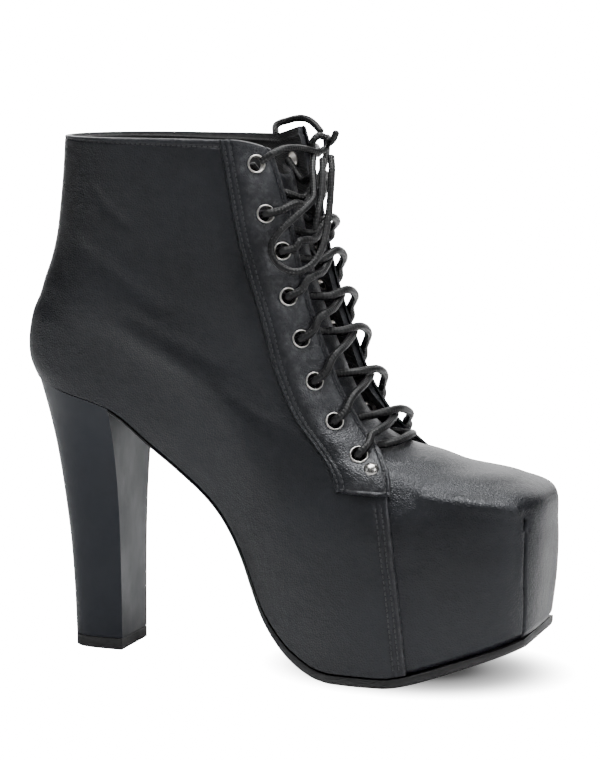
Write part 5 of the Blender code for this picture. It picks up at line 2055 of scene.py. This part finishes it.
class Studio:
    """Camera, lights, white backdrop and floor."""

    camera = CameraSizes()
    painted_shadow_ellipse: tuple = (0.016, 0.004, 0.066, 0.052)
    white: float = 20.0
    fill: float = 1.1
    room_light: float = 0.105
    paper: tuple = (0.92, 0.92, 0.92, 1.0)
    room: tuple = (6.0, 9.0)

    def build_camera(self) -> None:
        """The camera, with the photograph's view of the boot."""
        data = bpy.data.cameras.new("camera")
        data.lens = self.camera.lens
        data.sensor_width = self.camera.sensor
        thing = bpy.data.objects.new("camera", data)
        thing.location = self.camera.location
        aim = Vector(self.camera.aim) - Vector(self.camera.location)
        thing.rotation_euler = aim.to_track_quat("-Z", "Y").to_euler()
        bpy.context.scene.collection.objects.link(thing)
        bpy.context.scene.camera = thing

    def build_lights(self) -> None:
        """The softboxes and a white world."""
        for box in SOFTBOXES:
            data = bpy.data.lights.new(box.name, "AREA")
            data.shape = "RECTANGLE"
            data.size, data.size_y = box.size
            data.energy = box.power
            data.color = box.colour
            thing = bpy.data.objects.new(box.name, data)
            thing.visible_camera = False
            thing.location = box.place
            thing.rotation_euler = (Vector(box.aim) - Vector(box.place)).to_track_quat("-Z", "Y").to_euler()
            bpy.context.scene.collection.objects.link(thing)
        world = bpy.data.worlds.new("white_room")
        world.use_nodes = True
        background = world.node_tree.nodes["Background"]
        background.inputs["Color"].default_value = (1.0, 1.0, 1.0, 1.0)
        background.inputs["Strength"].default_value = self.room_light
        bpy.context.scene.world = world

    def stage(self, name: str, points: list, faces: list, material: bpy.types.Material, seen: bool) -> None:
        """Adds a staged surface that only the camera sees, or that only the light meets.

        Args:
            name: Its name.
            points: Its points.
            faces: Its faces.
            material: Its material.
            seen: Whether the camera sees it.
        """
        mesh = bpy.data.meshes.new(name)
        mesh.from_pydata(points, [], faces)
        mesh.materials.append(material)
        thing = bpy.data.objects.new(name, mesh)
        thing.visible_camera = seen
        for ray in ("visible_diffuse", "visible_glossy", "visible_transmission", "visible_shadow"):
            setattr(thing, ray, not seen)
        bpy.context.scene.collection.objects.link(thing)
        thing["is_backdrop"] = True

    def build_floor(self) -> None:
        """A white floor whose glow fades out in an ellipse round the sole, a painted shadow over the boot's
        real one, bright all round it, and a white backdrop.
        """
        c = Canvas("white_floor")
        split = c.node("ShaderNodeSeparateXYZ", {0: c.place})
        # Painted shadow: inside this ellipse round the sole the floor's glow falls from white to the fill
        # level and then to nothing.
        x, y, long, wide = self.painted_shadow_ellipse
        along = c.math("DIVIDE", c.math("SUBTRACT", split.outputs["X"], x), long)
        across = c.math("DIVIDE", c.math("SUBTRACT", split.outputs["Y"], y), wide)
        square = c.math("ADD", c.math("MULTIPLY", along, along), c.math("MULTIPLY", across, across))
        near = c.math("SQRT", square)
        clear = c.span(near, 0.45, 1.25, 0.0, 1.0)
        glow = c.math("ADD", c.math("MULTIPLY", c.math("POWER", clear, 3.0), self.white),
                      c.span(near, 0.30, 0.90, 0.0, self.fill))
        c.finish(Base_Color=self.paper, Roughness=c.span(c.noise(3.0), 0.3, 0.7, 0.50, 0.56),
                 Emission_Color=(1.0, 1.0, 1.0, 1.0), Emission_Strength=glow)
        card = Canvas("white_card")
        card.finish(Base_Color=self.paper, Roughness=card.span(card.noise(3.0), 0.3, 0.7, 0.50, 0.56))
        sky = Canvas("white_backdrop")
        sky.finish(Base_Color=(0.0, 0.0, 0.0, 1.0), Roughness=sky.span(sky.noise(3.0), 0.3, 0.7, 0.50, 0.56),
                   Emission_Color=(1.0, 1.0, 1.0, 1.0), Emission_Strength=self.white)
        r, top = self.room
        flat = [(-r, -r, 0), (r, -r, 0), (r, r, 0), (-r, r, 0)]
        room = flat + [(x, y, top) for x, y, _ in flat]
        self.stage("floor", flat, [(0, 1, 2, 3)], c.material, True)
        self.stage("floor_card", flat, [(0, 1, 2, 3)], card.material, False)
        self.stage("backdrop", room, [(0, 1, 5, 4), (1, 2, 6, 5), (2, 3, 7, 6), (3, 0, 4, 7), (4, 5, 6, 7)],
                   sky.material, True)


def write_sizes(before: object, after: object) -> None:
    """Turns the CAD box and the visual model's box into lists of numbers; nothing is written.

    Args:
        before: The CAD box, two corners.
        after: The visual model's box.
    """
    lists = [[[float(v) for v in corner] for corner in box] for box in (before, after)]


def main() -> None:
    """Builds the scene, camera and cords first."""
    logging.basicConfig(level=logging.INFO, format="%(name)s: %(message)s")
    studio = Studio()
    studio.build_camera()
    surface = LastSurface(LastSizes())
    parts = (surface, Relief(surface), Finishes())
    LOG.info("surface ready")
    lacing = Lacing(*parts)
    lacing.build_bow()
    lacing.build_crossings()
    LOG.info("laces ready")
    quarter, vamp, facing = Quarter(*parts), Vamp(*parts), Facing(*parts)
    stitching, metal = Stitching(*parts), MetalParts(*parts)
    for side in Side:
        quarter.build(side)
        facing.build(side)
        metal.build(side)
        stitching.sew_facing(facing, side)
        stitching.sew_quarter(quarter, side)
    stitching.build()
    vamp.build_vamp()
    vamp.build_tongue()
    LOG.info("upper ready")
    bottom = Bottom(*parts)
    bottom.build_outsole()
    bottom.build_insole()
    bottom.build_heel()
    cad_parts["platform"].material_slots[0].material = parts[2].lining
    studio.build_lights()
    studio.build_floor()
    LOG.info("studio ready")
    write_sizes(CAD_BOX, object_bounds())


if __name__ == "__main__":
    main()
